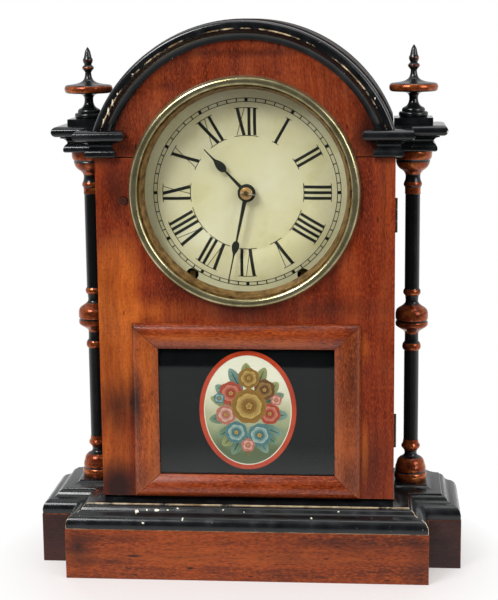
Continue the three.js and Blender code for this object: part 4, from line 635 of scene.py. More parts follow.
# %% Base and platform
ease_edges("base_front_board", "case", PLINTH_VENEER)
for side in ("left", "right"):
    ease_edges("base_side_" + side, "case", SIDE_VENEER, 0.7)
    ease_edges("ogee_moulding_" + side, "case", SIDE_BLACK, 0.35)
ease_edges("ogee_moulding_front", "case", BASE_BLACK, 0.35)
PLATFORM_FRONT = span("platform_board", 1)[0]
ease_edges("platform_board", "case", BASE_BLACK, 0.35, worn_before=(PLATFORM_FRONT + 3) * MM)
ease_edges("base_rear_rail", "case", BARE_RAIL, 0.4)

# %% [markdown]
# ## The case
# The case is stained softwood. Black blocks at the springing of the arch carry the finials.

# %% Case and entablature
for side in ("left", "right"):
    ease_edges("case_side_" + side, "case", CASE_WOOD, 0.6)
    ease_edges("front_block_" + side, "case", BLOCK_BLACK, 0.3)
    ease_edges("side_entablature_" + side, "case", BLOCK_BLACK, 0.3)
    ease_edges("cap_block_" + side, "case", BLOCK_BLACK, 0.5)
ease_edges("arch_fascia", "case", FASCIA_VENEER, 0.3)
ease_edges("backboard", "case", PLAIN_WOOD, 0.4)
ease_edges("dial_board", "case", ROOF_WOOD, 0.3)

# %% [markdown]
# ## The door
# One veneered board fills the whole front. Four mitred lengths of moulding frame the tablet, with the grain
# along each.

# %% Door and tablet frame
ease_edges("door_board", "door", DOOR_VENEER, 0.6)
for place_name in ("top", "bottom"):
    ease_edges("tablet_frame_" + place_name, "door", RAIL_VENEER, 0.3)
for place_name in ("left", "right"):
    ease_edges("tablet_frame_" + place_name, "door", STILE_VENEER, 0.3)
ease_edges("door_catch", "door", CATCH_BROWN)

# %% [markdown]
# ## The arched moulding
# The black moulding over the arch is a straight moulding's section carried round a half circle. Its section
# rises from the inner edge in a hollow to a sharp ridge, and rolls down in a round to the outer edge. The
# section is spun the whole way round, and everything below the blocks is cut away.

# %% Arched moulding
ARCH_INNER = 104.8
RIDGE = ARCH_INNER + 7.8
section = outline(
    (ARCH_INNER, 0), (ARCH_INNER, -2), (RIDGE - 1.4, -3.4, RIDGE, -11.2), (RIDGE + 0.8, -11.2),
    (RIDGE + 1.0, -9.8), (118.2, -11.2, 119, -9.0, 119, -5.0), (119, 0), steps=10,
)
arch = spin_piece("arch_moulding_round", section, (0, DOOR_FRONT, ARCH_Z), (0, 1, 0), 160, closed=True)
edit(arch)
bpy.ops.mesh.bisect(
    plane_co=(0, 0, span("arch_moulding", 2)[0] * MM), plane_no=(0, 0, 1), clear_inner=True, use_fill=True
)
settle(arch, "arch_moulding_round", 40)
ridge = arch.data.attributes.new("edge", "FLOAT", "POINT")
for i, vertex in enumerate(arch.data.vertices):
    radius = math.hypot(vertex.co.x, vertex.co.z - ARCH_Z * MM) / MM
    ridge.data[i].value = 1.0 if abs(radius - RIDGE - 0.4) < 0.45 else 0.0
hand_over(arch, "case", ARCH_BLACK, "arch_moulding")

# %% [markdown]
# ## The roof
# The roof is a thin board bent over the case. Its outline is spun as the moulding's was.

# %% Bent roof
roof_front, roof_back = span("case_roof", 1)
roof_section = [(114, roof_front), (120, roof_front), (120, roof_back), (114, roof_back)]
roof = spin_piece("case_roof_round", roof_section, (0, 0, ARCH_Z), (0, 1, 0), 160, closed=True)
edit(roof)
for place_of, normal, keep_low in (
    ((0, 0, span("case_roof", 2)[0] * MM), (0, 0, 1), False),
    ((span("case_roof", 0)[1] * MM, 0, 0), (1, 0, 0), True),
    ((span("case_roof", 0)[0] * MM, 0, 0), (1, 0, 0), False),
):
    bpy.ops.mesh.select_all(action="SELECT")
    bpy.ops.mesh.bisect(
        plane_co=place_of, plane_no=normal, clear_inner=not keep_low, clear_outer=keep_low, use_fill=True
    )
settle(roof, "case_roof_round", 40)
hand_over(roof, "case", ROOF_WOOD, "case_roof")

# %% [markdown]
# ## Columns
# Each column stands free beside the case. From the foot up it has a bell-shaped base, a slim shaft, a double
# bulb between two beads, the shaft again and a vase-shaped capital. The beads and bulbs are gilded and the
# shafts are black, so the gilt attribute follows the height. The narrow grooves and necks between the gilded
# bands are left black as well, as painted shade in those hollows.


# %% Turn a column
def paint_gilt(piece, foot, bands, fade=0.6):
    gilt = piece.data.attributes.new("gilt", "FLOAT", "POINT")
    for i, vertex in enumerate(piece.data.vertices):
        height = vertex.co.z / MM - foot
        layers = [
            amount * min(1.0, max(0.0, 0.5 + min(height - low, high - height) / fade))
            for low, high, amount in bands
        ]
        gilt.data[i].value = max(layers)


COLUMN_OUTLINE = outline(
    (0, 0), (12, 0), (13.8, 3.6, 12.4, 6.8), (11.9, 7.2), (11.9, 7.9), (12.6, 9.2, 12.2, 11.4, 11.4, 13.2),
    (10.9, 16.6, 9.6, 18.2, 7.3, 19.3), (5.4, 20, 4.9, 21.2, 4.9, 22.5), (4.9, 24.4, 6.6, 26.1),
    (7.9, 27.4, 7.3, 29.1), (6.4, 30.3), (6.2, 32, 5.8, 34), (5.8, 106.4), (6.6, 107.0),
    (7.8, 108.6, 7.2, 110.8), (7.0, 112.2, 5.6, 113.4), (5.3, 115, 5.45, 120.5),
    (5.8, 122.6, 10.4, 124.0, 12.5, 126.4), (13.1, 128, 12.6, 129.6), (12.0, 130.0), (12.0, 130.8),
    (12.7, 131.6), (13.1, 134.6, 12.7, 137.2), (12.0, 140.8, 8.6, 141.2, 6.6, 143.2),
    (5.1, 144.4, 5.0, 145.9), (5.0, 148.4, 5.5, 150.6), (6.2, 151.2), (7.4, 152.8, 6.6, 154.9),
    (5.9, 155.8), (5.8, 156.4), (5.8, 230.6), (6.2, 231.0), (6.0, 234, 6.3, 236.4),
    (7.8, 237.8, 6.9, 239.9), (6.1, 241.6), (5.6, 244, 5.8, 245.6), (6.2, 248, 8.2, 249.3, 9.6, 250.2),
    (12.6, 252.2, 13.3, 256.6), (13.0, 257.2), (13.4, 257.8), (15.1, 259.4, 15.0, 262.6, 14.6, 265),
    (0, 265),
)
# Gilded bands by height; the black gaps between them at grooves and necks are painted shade.
COLUMN_GILT_AND_GROOVE_SHADE = (
    (0, 7.0, 0.9), (8.0, 18.8, 0.9), (24.6, 33.6, 0.9), (106.8, 112.4, 0.92), (120, 129.8, 0.9),
    (131.0, 143.4, 0.92), (150.6, 155.8, 0.92), (231.0, 236.4, 0.85), (237.4, 241.0, 0.85),
    (246.0, 256.6, 0.85), (258.0, 265, 0.85),
)
for side in ("left", "right"):
    node = "column_" + side
    axis_at = (middle(node, 0), middle(node, 1), PLATFORM)
    column = spin_piece(node + "_turned", COLUMN_OUTLINE, axis_at, (0, 0, 1), 64)
    paint_gilt(column, PLATFORM, COLUMN_GILT_AND_GROOVE_SHADE)
    hand_over(column, "case", gilding, node)

# %% [markdown]
# ## Finials
# A finial stands on each cap block: a stepped foot, a waisted stem, a flat disc with a gilded rim, a slim
# neck with a ring and a pointed bud.

# %% Turn a finial
FINIAL_OUTLINE = outline(
    (0, 0), (10.3, 0), (11.7, 0.6, 11.7, 3.6, 10.4, 4.1), (8.8, 4.3), (9.3, 5.0, 8.9, 7.2, 7.2, 7.6),
    (4.6, 8.6, 3.6, 11.0, 3.4, 14), (3.3, 17.4, 4.6, 18.6, 9, 19.3), (17.0, 19.6),
    (19.5, 19.9, 19.5, 25.6, 17.0, 25.9), (15, 26.2), (8, 26.9, 4, 28.2, 3.1, 31.4), (2.5, 33.4, 2.4, 35.6),
    (2.8, 36.6, 4.0, 37.8), (5.2, 39.2, 4.1, 40.4), (2.9, 41.4), (2.9, 42.2), (4.4, 44.2, 3.7, 46.2),
    (3.0, 47.4), (2.9, 48.2), (2.4, 50.4, 2.0, 52.2), (1.0, 54.2, 0.5, 55.0, 0, 55.3),
)
for side in ("left", "right"):
    node = "finial_" + side
    foot = span(node, 2)[0]
    axis_at = (middle("column_" + side, 0), middle("column_" + side, 1), foot)
    finial = spin_piece(node + "_turned", FINIAL_OUTLINE, axis_at, (0, 0, 1), 64)
    paint_gilt(finial, foot, ((20.2, 25.4, 0.9), (38.0, 40.2, 0.56), (43.4, 46.2, 0.5)), 0.4)
    hand_over(finial, "case", gilding, node)

# %% [markdown]
# ## Bezel and sight ring
# The bezel is a spun brass ring with a rounded face. Behind its glass a second ring, the sight, slopes back
# towards the dial and throws light on it.

# %% Spin the bezel and the sight ring
bezel_section = outline(
    (82.1, 0), (82.1, -3.4), (80.7, -3.4), (80.7, -4.4), (81.0, -6.0, 84.3, -6.0), (86.6, -5.6, 87.2, -2.4),
    (87.5, -1.6), (87.5, 0), steps=8,
)
bezel = spin_piece("bezel_spun", bezel_section, (0, BEZEL_BACK, BEZEL_Z), (0, 1, 0), 160, closed=True)
hand_over(bezel, "door", BEZEL_BRASS, "bezel_ring")
sight_front = span("sight_ring", 1)[0] - BEZEL_BACK
sight_section = outline(
    (79.4, sight_front), (81.8, sight_front), (81.8, sight_front + 0.8), (80.1, sight_front + 0.8),
    (77.5, sight_front + 11.6), (76.8, sight_front + 11.6),
)
sight = spin_piece("sight_spun", sight_section, (0, BEZEL_BACK, BEZEL_Z), (0, 1, 0), 160, closed=True)
hand_over(sight, "door", SIGHT_BROWN, "sight_ring")

# %% [markdown]
# ## The dial
# The dial is a tin disc, pressed so that the ring of numerals swells forward, and painted cream. Two round
# holes at its foot let the winding key through.

# %% Press and pierce the dial
dial_front = outline(
    (4.4, 0), (44, 0), (47, -0.4, 49, -2.2, 58, -2.0), (66, -1.8, 72.4, -0.5), (84, 0.3), steps=10
)
dial_back = [(r, y + 0.8) for r, y in reversed(dial_front)]
dial = spin_piece(
    "dial_pressed", dial_front + dial_back, (0, DIAL_FLAT, DIAL_Z), (0, 1, 0), 128, closed=True
)
KEY_HOLE_APART, KEY_HOLE_DROP, KEY_HOLE_RADIUS = 86, 63.3, 4.8
for across in (-KEY_HOLE_APART / 2, KEY_HOLE_APART / 2):
    clear_selection()
    bpy.ops.mesh.primitive_cylinder_add(
        vertices=48, radius=KEY_HOLE_RADIUS * MM, depth=10 * MM,
        location=(across * MM, DIAL_FLAT * MM, (DIAL_Z - KEY_HOLE_DROP) * MM), rotation=(math.pi / 2, 0, 0),
    )
    drill = bpy.context.active_object
    apply_modifier(dial, "BOOLEAN", object=drill, operation="DIFFERENCE")
    bpy.data.objects.remove(drill)
settle(dial, "dial_pressed", 30)
hand_over(dial, "case", DIAL_PAINT, "dial_plate")

# %% [markdown]
# ## Printing on the dial
# The numerals and the minute track are printed. Each stroke of a numeral starts as a flat plane in front of
# the dial, set side by side as a signwriter spaces letters.

# %% Lay out the numerals
INK_LOW, INK_HIGH = 43.8, 64.6
NUMERALS = ("XII", "I", "II", "III", "IIII", "V", "VI", "VII", "VIII", "IX", "X", "XI")
LETTER_WIDTH = {"I": 4.3, "V": 8.8, "X": 8.6}
STROKES = {
    "I": ((0, 0, 2.3),), "V": ((-3.0, 0.25, 2.5), (3.1, 0.35, 0.5)),
    "X": ((-2.5, 2.5, 2.5), (2.9, -2.9, 0.5)),
}
strokes = []
for hour, numeral in enumerate(NUMERALS):
    turn = hour * math.pi / 6
    cursor = -sum(LETTER_WIDTH[c] for c in numeral) / 2
    for letter in numeral:
        centre = cursor + LETTER_WIDTH[letter] / 2
        cursor += LETTER_WIDTH[letter]
        for top, foot, width in STROKES[letter]:
            across = centre + (top + foot) / 2
            length = math.hypot(INK_HIGH - INK_LOW, top - foot)
            tilt = turn + math.atan2(top - foot, INK_HIGH - INK_LOW)
            out = (INK_HIGH + INK_LOW) / 2
            x = across * math.cos(turn) + out * math.sin(turn)
            z = -across * math.sin(turn) + out * math.cos(turn)
            clear_selection()
            bpy.ops.mesh.primitive_plane_add(
                size=1, location=(x * MM, (DIAL_FLAT - 4) * MM, (DIAL_Z + z) * MM),
                rotation=(math.pi / 2, tilt, 0),
            )
            bpy.context.active_object.scale = (width * MM, length * MM, 1)
            strokes.append(bpy.context.active_object)
print("numeral strokes:", len(strokes))

# %% [markdown]
# ## Laying the print on the dial
# The thin lines across the ends of the numerals, and the minute track, start as bands of a thousand small
# faces, of which only the wanted ones are kept. A shrinkwrap then lays all of it on the curved dial, and
# solidify gives the ink its film.


# %% Bands of ink, and the whole print laid on the dial
def ink_band(inner, outer, keep):
    clear_selection()
    bpy.ops.mesh.primitive_circle_add(
        vertices=1080, radius=inner * MM, location=(0, (DIAL_FLAT - 4) * MM, DIAL_Z * MM),
        rotation=(math.pi / 2, 0, 0),
    )
    band = bpy.context.active_object
    bpy.ops.object.transform_apply(location=False, rotation=True, scale=True)
    edit(band)
    bpy.ops.mesh.extrude_region_move()
    bpy.ops.transform.resize(value=(outer / inner,) * 3)

    def unwanted(face):
        centre = face.calc_center_median()
        return not keep(math.degrees(math.atan2(centre.x, centre.z)) % 360)

    pick(band, "FACE", unwanted)
    bpy.ops.mesh.delete(type="FACE")
    bpy.ops.object.mode_set(mode="OBJECT")
    apply_placing()
    return band


def under_numeral(radius):
    half = {n * 30: (sum(LETTER_WIDTH[c] for c in NUMERALS[n]) / 2 + 0.6) / radius for n in range(12)}

    def keep(angle):
        nearest = round(angle / 30) * 30
        return abs(angle - nearest) < math.degrees(half[nearest % 360])

    return keep


def minute_mark(angle):
    near_five = abs(angle - round(angle / 30) * 30)
    near_one = abs(angle - round(angle / 6) * 6)
    return near_five < 0.95 or near_one < 0.2


bands = [
    ink_band(INK_HIGH - 0.1, INK_HIGH + 0.45, under_numeral(INK_HIGH)),
    ink_band(INK_LOW - 0.45, INK_LOW + 0.1, under_numeral(INK_LOW)),
    ink_band(69.0, 69.5, lambda angle: True), ink_band(71.75, 72.25, lambda angle: True),
    ink_band(69.4, 71.9, minute_mark),
]
for piece in strokes:
    edit(piece)
    bpy.ops.mesh.subdivide(number_cuts=5)
ink = join((*bands, *strokes))
apply_modifier(
    ink, "SHRINKWRAP", target=dial, wrap_method="PROJECT", use_project_y=True, use_positive_direction=True,
    offset=0.00004,
)
edit(ink)
bpy.ops.mesh.normals_make_consistent(inside=False)
apply_modifier(ink, "SOLIDIFY", thickness=0.00012, offset=0.0)
settle(ink, "dial_print", 30)
hand_over(ink, "case", DIAL_INK)

# %% [markdown]
# ## Hands
# The hands are cut from sheet steel and blued. Each has a round boss, a slim stem, a leaf near its end and a
# fine point. The outline is drawn as a flat curve, which Blender fills and gives a thickness with a slight
# bevel, and is then turned to a mesh. They show 10:32.


# %% Cut a hand
def hand_outline(length, boss, root, leaf_at, leaf_width):
    half_leaf = leaf_width / 2
    half = outline(
        (root, math.sqrt(boss**2 - root**2)), (0.6, leaf_at - leaf_width * 0.72),
        (half_leaf * 0.95, leaf_at - leaf_width * 0.62, half_leaf, leaf_at),
        (half_leaf * 0.92, leaf_at + leaf_width * 0.55, 0.9, leaf_at + leaf_width * 1.05),
        (0.55, leaf_at + leaf_width * 1.3, 0.4, leaf_at + leaf_width * 1.75), (0.26, length), steps=10,
    )
    start = math.asin(root / boss)
    turns = [start + (2 * math.pi - 2 * start) * i / 40 for i in range(1, 40)]
    around = [(boss * math.sin(a), boss * math.cos(a)) for a in turns]
    return [(-x, z) for x, z in half] + [(x, z) for x, z in reversed(half)] + around


def cut_hand(name, points, y, turn, eye):
    drawn = bpy.data.curves.new(name, "CURVE")
    drawn.dimensions = "2D"
    drawn.fill_mode = "BOTH"
    drawn.extrude = 0.0002
    drawn.bevel_depth = 0.00014
    hole = [(eye * math.sin(2 * math.pi * i / 24), eye * math.cos(2 * math.pi * i / 24)) for i in range(24)]
    for ring in (points, hole):
        line = drawn.splines.new("POLY")
        line.points.add(len(ring) - 1)
        line.use_cyclic_u = True
        for spot, (x, z) in zip(line.points, ring):
            spot.co = (x * MM, z * MM, 0, 1)
    work_on(bring_in(name, drawn))
    bpy.ops.object.convert(target="MESH")
    piece = bpy.context.active_object
    place_at = Matrix.Translation((0, (y + 0.35) * MM, DIAL_Z * MM))
    piece.matrix_world = place_at @ Matrix.Rotation(turn, 4, "Y") @ Matrix.Rotation(math.pi / 2, 4, "X")
    work_on(piece)
    apply_placing()
    edit(piece)
    bpy.ops.mesh.remove_doubles(threshold=1e-6)
    bpy.ops.mesh.normals_make_consistent(inside=False)
    return settle(piece, name, 30)


SHOWN = 10 * 60 + 32
hour_hand = cut_hand(
    "hour_hand_cut", hand_outline(46.2, 6.8, 1.2, 28, 6.4), span("hour_hand", 1)[0],
    SHOWN / 720 * 2 * math.pi, 3.3,
)
hand_over(hour_hand, "hour_pipe", BLUED_STEEL, "hour_hand")
minute_hand = cut_hand(
    "minute_hand_cut", hand_outline(69.8, 5.6, 1.5, 41.6, 5.5), span("minute_hand", 1)[0],
    (SHOWN % 60) / 60 * 2 * math.pi, 1.9,
)
hand_over(minute_hand, "minute_arbor", BLUED_STEEL, "minute_hand")

# %% [markdown]
# ## Washer and pin
# A domed brass washer and a steel taper pin hold the hands on.

# %% Turn the washer
washer_front, washer_back = span("hand_washer", 1)
washer_section = outline(
    (1.9, washer_back), (4.8, washer_back), (4.9, washer_front + 0.3, 4.2, washer_front),
    (1.9, washer_front + 0.1), steps=5,
)
washer = spin_piece("hand_washer_domed", washer_section, (0, 0, DIAL_Z), (0, 1, 0), 48, closed=True)
hand_over(washer, "minute_arbor", WASHER_BRASS, "hand_washer")

# %% [markdown]
# ## The painted tablet
# The tablet is clear glass with its picture painted on the back: first the flowers, then the cream ground
# and the red oval, and last a coat of black all over. From the front the order is turned round, so here the
# flowers lie nearest to the glass. Every leaf and petal is a flat shape with its own colour, lighter
# towards the tip, as a decorator lays it with one stroke.

# %% Glass, black ground and oval
TABLET_X = 0.8
TABLET_Z = 129.5
glass_low, glass_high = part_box("tablet_glass")
GLASS_FRONT = glass_low.y / MM
GLASS_THICKNESS = 1.6
STROKES_BEHIND, BLACK_BEHIND, BLACK_BACK = 1.77, 1.9, 2.0


def slab(name, front, back, low, high):
    clear_selection()
    bpy.ops.mesh.primitive_cube_add(size=1)
    piece = bpy.context.active_object
    piece.scale = ((high[0] - low[0]) * MM, (back - front) * MM, (high[1] - low[1]) * MM)
    piece.location = ((low[0] + high[0]) / 2 * MM, (front + back) / 2 * MM, (low[1] + high[1]) / 2 * MM)
    apply_placing()
    edit(piece)
    bpy.ops.mesh.bevel(offset=(back - front) * MM * 0.12, segments=2)
    settle(piece, name, 40)
    apply_modifier(piece, "WEIGHTED_NORMAL", keep_sharp=True)
    return piece


glass_corners = ((glass_low.x / MM, glass_low.z / MM), (glass_high.x / MM, glass_high.z / MM))
pane = slab("tablet_pane", GLASS_FRONT, GLASS_FRONT + GLASS_THICKNESS, *glass_corners)
hand_over(pane, "door", GLASS, "tablet_glass")


def oval(name, width, height, front, thickness):
    clear_selection()
    bpy.ops.mesh.primitive_cylinder_add(
        vertices=96, radius=1, depth=1,
        location=(TABLET_X * MM, (front + thickness / 2) * MM, TABLET_Z * MM), rotation=(math.pi / 2, 0, 0),
    )
    piece = bpy.context.active_object
    piece.scale = (width / 2 * MM, height / 2 * MM, thickness * MM)
    return settle(piece, name, 30)


TABLET_BLACK = drifting(
    "Black paint behind glass", ("#0c0d0e", "#111314", "#17191a"), (0.6, 0.5), 0.0, 0.05, specular=0.0
)
OVAL_RED = drifting(
    "Vermilion paint", ("#a83a20", "#bb4428", "#c65232"), (0.6, 0.5), 0.0, 0.02, specular=0.0
)
OVAL_WHITE = drifting("White paint", ("#dcd8c6", "#e6e2d2", "#efece0"), (0.6, 0.5), 0.0, 0.02, specular=0.0)
OVAL_SKY = new_material("Cream paint shaded to green")
place = add(OVAL_SKY, "TexCoord").outputs["Object"]
height = add(OVAL_SKY, "SeparateXYZ", {"Vector": place}).outputs["Z"]
cloud = noise(OVAL_SKY, place, 60.0, 6.0)
uneven = maths(OVAL_SKY, "MULTIPLY_ADD", cloud, 0.03, height)
low, high = (TABLET_Z - 40) * MM + 0.015, (TABLET_Z + 40) * MM + 0.015
share = spread(OVAL_SKY, uneven, low, high)
shaded = ramp(OVAL_SKY, share, (0.1, "#5f6d4e"), (0.32, "#98a07c"), (0.5, "#c4c2a0"), (0.8, "#ecead6"))
surface(OVAL_SKY, {"Base Color": shaded, "Specular IOR Level": 0.0})
dict.fromkeys((TABLET_BLACK, OVAL_RED, OVAL_WHITE, OVAL_SKY), "painted_glass")
ground = slab("tablet_black", GLASS_FRONT + BLACK_BEHIND, GLASS_FRONT + BLACK_BACK, *glass_corners)
hand_over(ground, "door", TABLET_BLACK)
for name, width, height, behind_glass, paint in (
    ("ring", 75, 93.8, 1.86, OVAL_RED),
    ("line", 67.8, 86.6, 1.83, OVAL_WHITE),
    ("ground", 66.3, 85.1, 1.80, OVAL_SKY),
):
    painted_oval = oval("tablet_oval_" + name, width, height, GLASS_FRONT + behind_glass, 0.02)
    hand_over(painted_oval, "door", paint)

# %% [markdown]
# ## Flowers on the tablet
# The bouquet is a loose bunch of made-up garden flowers: an ochre one in the middle, rust, rose and blue-green
# ones about it, and grey-green leaves that hang out to the sides. Every stroke lies a thousandth of a
# millimetre nearer to the glass than the last, as paint laid over paint does.

# %% Paint the bouquet
PETAL_PAINT = new_material("Decorator's paint, shaded strokes")
tone = add(PETAL_PAINT, "Attribute", attribute_name="paint")
place = add(PETAL_PAINT, "TexCoord").outputs["Object"]
brushed = noise(PETAL_PAINT, place, 900.0, 4.0)
thin = ramp(PETAL_PAINT, brushed, (0.3, 0.75), (0.7, 1.1))
colour = add(
    PETAL_PAINT, "Mix", {"Factor": 1.0, "A": tone.outputs["Color"], "B": thin}, data_type="RGBA",
    blend_type="MULTIPLY",
)
surface(PETAL_PAINT, {"Base Color": colour, "Specular IOR Level": 0.0})

painted = []


def stroke(x, z, length, width, turn, root, tip):
    """A leaf or petal from (x, z), pointing turn degrees clockwise of up."""
    angle = math.radians(turn)
    clear_selection()
    bpy.ops.mesh.primitive_circle_add(vertices=20, radius=1, fill_type="NGON")
    piece = bpy.context.active_object
    edit(piece)
    bpy.ops.mesh.inset(thickness=0.5)
    bpy.ops.object.mode_set(mode="OBJECT")
    tint = piece.data.attributes.new("paint", "FLOAT_COLOR", "POINT")
    for i, vertex in enumerate(piece.data.vertices):
        share = (vertex.co.y + 1) / 2
        rim = math.hypot(vertex.co.x, vertex.co.y)
        blend = min(1.0, share * 0.75 + rim * 0.25)
        mixed = [a * (1 - blend) + b * blend for a, b in zip(linear(root), linear(tip))]
        tint.data[i].color = (*mixed[:3], 1.0)
        vertex.co.x *= width / 2 * MM * (0.35 + 0.9 * math.sin(math.pi * (0.12 + 0.62 * share)))
        vertex.co.y = (vertex.co.y + 1) * length / 2 * MM
    y = GLASS_FRONT + STROKES_BEHIND - 0.001 * len(painted)
    piece.matrix_world = (
        Matrix.Translation(
            (x * MM, y * MM, z * MM)
        ) @ Matrix.Rotation(angle, 4, "Y") @ Matrix.Rotation(math.pi / 2, 4, "X")
    )
    painted.append(piece)


def leaf(x, z, length, turn, shades):
    root, tip, vein = shades
    stroke(x, z, length, 7.0, turn, root, tip)
    stroke(x, z, length * 0.88, 0.7, turn, vein, vein)


def flower(x, z, radius, petals, shades):
    dark, mid, light = shades
    for row, (size, count) in enumerate(((1.0, petals), (0.72, petals - 1), (0.46, petals - 2))):
        for i in range(count):
            turn = (i + 0.5 * row) * 360 / count + 11 * row
            tip = (mid, light, mid)[row]
            stroke(x, z, radius * size, radius * size * 0.9, turn, dark, tip)
    for i in range(5):
        stroke(x, z, radius * 0.18, radius * 0.14, i * 72, "#6a4a1c", "#d8b25c")


LEAVES = (
    ("#2f4a3a", "#7d9a80", "#26402f"), ("#3a5a54", "#86a596", "#2c4a44"), ("#55603a", "#a3a873", "#3f4a2a")
)
for i, (x, z, length, turn) in enumerate(
    (
        (-6, 118, 20, -118), (8, 118, 20, 112), (-8, 132, 22, -70), (10, 134, 20, 64),
        (-4, 144, 21, -28), (6, 146, 19, 24), (-3, 112, 20, -152), (5, 112, 19, 148),
        (0, 150, 17, -4), (-12, 124, 18, -96), (14, 126, 17, 90), (-9, 112, 15, -135),
        (11, 112, 14, 128), (-12, 138, 17, -48), (13, 140, 16, 42),
    )
):
    leaf(TABLET_X + x, z, length, turn, LEAVES[i % 3])
for x, turn in ((-5, 166), (-1.5, 173), (1.5, 184), (5, 193)):
    stroke(TABLET_X + x, 114, 21, 1.4, turn, "#4a3a20", "#8a7440")
RUST = ("#7a2c1c", "#b8503a", "#dc8a74")
OCHRE = ("#5b3f1c", "#a0762f", "#cfae62")
BROWN = ("#3c2614", "#7a5228", "#a98448")
ROSE = ("#8a4438", "#c8806e", "#e6bcae")
TEAL = ("#2d4c50", "#5f8787", "#a5c0b6")
for x, z, radius, petals, shades in (
    (-13, 143, 9.5, 7, RUST), (13, 146, 8.5, 6, BROWN), (1, 155, 8.5, 6, OCHRE), (-17, 126, 8, 6, ROSE),
    (17, 127, 8.5, 7, RUST), (1, 133, 14, 9, OCHRE), (-9, 112, 9, 7, TEAL), (9, 110, 9.5, 7, TEAL),
    (-22, 139, 4.5, 5, TEAL), (22, 138, 4.5, 5, ROSE), (0, 102, 5.5, 5, ROSE),
):
    flower(TABLET_X + x, z, radius, petals, shades)
bouquet = join(painted)
apply_modifier(bouquet, "SOLIDIFY", thickness=0.0000004, offset=1.0)
settle(bouquet, "tablet_bouquet", 30)
hand_over(bouquet, "door", PETAL_PAINT)

# %% [markdown]
# ## The gong
# With the door open, the coiled gong and the pendulum bob show below the dial. The gong is one steel rod
# wound in a flat spiral, so it is drawn as a curve with a round section and then turned to a mesh.

# %% Wind the gong
GONG_Y = middle("gong_coil", 1)
GONG_Z = middle("gong_block", 2)
GONG_TURNS, GONG_PITCH, WIRE_RADIUS = 5, 5, 1.3
LEAD_END, LEAD_BEND = 10.9, 5
wire_points = [(8.3, 0), (LEAD_END, 0)]
for share in (0.33, 0.66):
    bend = share * math.pi / 2
    wire_points.append((LEAD_END + LEAD_BEND * math.sin(bend), LEAD_BEND * (1 - math.cos(bend))))
first_radius = math.hypot(LEAD_END + LEAD_BEND, LEAD_BEND)
first_angle = math.atan2(LEAD_BEND, LEAD_END + LEAD_BEND)
for i in range(GONG_TURNS * 48 + 1):
    angle = first_angle + i / 48 * 2 * math.pi
    radius = first_radius + GONG_PITCH * i / 48
    wire_points.append((radius * math.cos(angle), radius * math.sin(angle)))
coil_line = bpy.data.curves.new("gong_wound", "CURVE")
coil_line.dimensions = "3D"
coil_line.bevel_depth = WIRE_RADIUS * MM
coil_line.bevel_resolution = 4
coil_line.use_fill_caps = True
path = coil_line.splines.new("POLY")
path.points.add(len(wire_points) - 1)
for spot, (x, z) in zip(path.points, wire_points):
    spot.co = (x * MM, GONG_Y * MM, (GONG_Z + z) * MM, 1)
work_on(bring_in("gong_wound", coil_line))
bpy.ops.object.convert(target="MESH")
coil = settle(bpy.context.active_object, "gong_wound", 60)
hand_over(coil, "case", BLUED_STEEL, "gong_coil")

# %% [markdown]
# ## The pendulum bob
# The bob is a thin brass shell, domed to the front and back, with a narrow rim.

# %% Turn the pendulum bob
bob_y = middle("pendulum_bob", 1)
bob_section = outline(
    (0, -4.5), (15, -4.5, 24.6, -0.9), (25, -0.6), (25, 0.6), (24.6, 0.9), (15, 4.5, 0, 4.5), steps=10
)
bob = spin_piece("pendulum_bob_domed", bob_section, (0, bob_y, middle("pendulum_bob", 2)), (0, 1, 0), 80)
hand_over(bob, "pendulum", PLATE_BRASS, "pendulum_bob")

# %% [markdown]
# ## Works that keep their solids
# The wheels, plates, springs and hinges are small and mostly hidden, and their solids already have the right
# shape. They only need their metals.

# %% Give the works their metals
WORKS = {
    PLATE_BRASS: (
        "back_plate", "time_great_wheel", "strike_great_wheel", "escape_wheel", "centre_arbor",
        "minute_wheel", "hour_wheel", "pendulum_rod",
    ),
    # The hinges are blackened brass; the front plate gets the same near-black finish as painted shade behind
    # the dial.
    BLACKENED_BRASS_AND_SHADE: (
        "front_plate", "hinge_case_leaf_lower", "hinge_case_leaf_upper", "hinge_door_leaf_lower",
        "hinge_door_leaf_upper",
    ),
    GREY_STEEL: ("time_mainspring", "strike_mainspring", "verge_crutch", "hammer"),
    PIN_STEEL: ("taper_pin",), CAST_BLACK: ("gong_block",), GLASS: ("bezel_glass",),
}
for metal_finish, names in WORKS.items():
    for node in names:
        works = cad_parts[node].data
        works.materials.clear()
        works.materials.append(metal_finish)
print("works finished:", sum(len(names) for names in WORKS.values()))

# %% [markdown]
# ## Floor
# The clock stands on a white table. For the camera the floor adds a little light of its own, so that it reads
# as white but still takes the shadow. Polished faces mirror it only as far as the table's edge, three
# quarters of a metre in front, which leaves the tablet glass its dark upper band.

# %% Floor
clear_selection()
bpy.ops.mesh.primitive_plane_add(size=12)
floor = bpy.context.active_object
floor.name = "floor"
floor_finish = new_material("White table")
rays = add(floor_finish, "LightPath").outputs
seen = maths(floor_finish, "MAXIMUM", rays["Is Camera Ray"], rays["Is Transmission Ray"])
where = add(floor_finish, "TexCoord").outputs["Object"]
out_there = add(floor_finish, "VectorMath", {0: where}, operation="LENGTH").outputs["Value"]
far = spread(floor_finish, out_there, 0.145, 0.21)
along = add(floor_finish, "SeparateXYZ", {"Vector": where}).outputs["Y"]
table_edge = spread(floor_finish, along, -0.765, -0.755)
nearness = spread(floor_finish, along, -0.4, -0.12, 0.3, 1.1)
mirrored_table = maths(floor_finish, "MULTIPLY", table_edge, nearness)
cloth = add(floor_finish, "BsdfDiffuse", {"Color": "#a8a3a3"})
lift = add(floor_finish, "Emission", {"Color": (1.0, 0.95, 0.925, 1), "Strength": 0.43})
dark_lift = add(floor_finish, "MixShader", {0: seen, 2: lift})
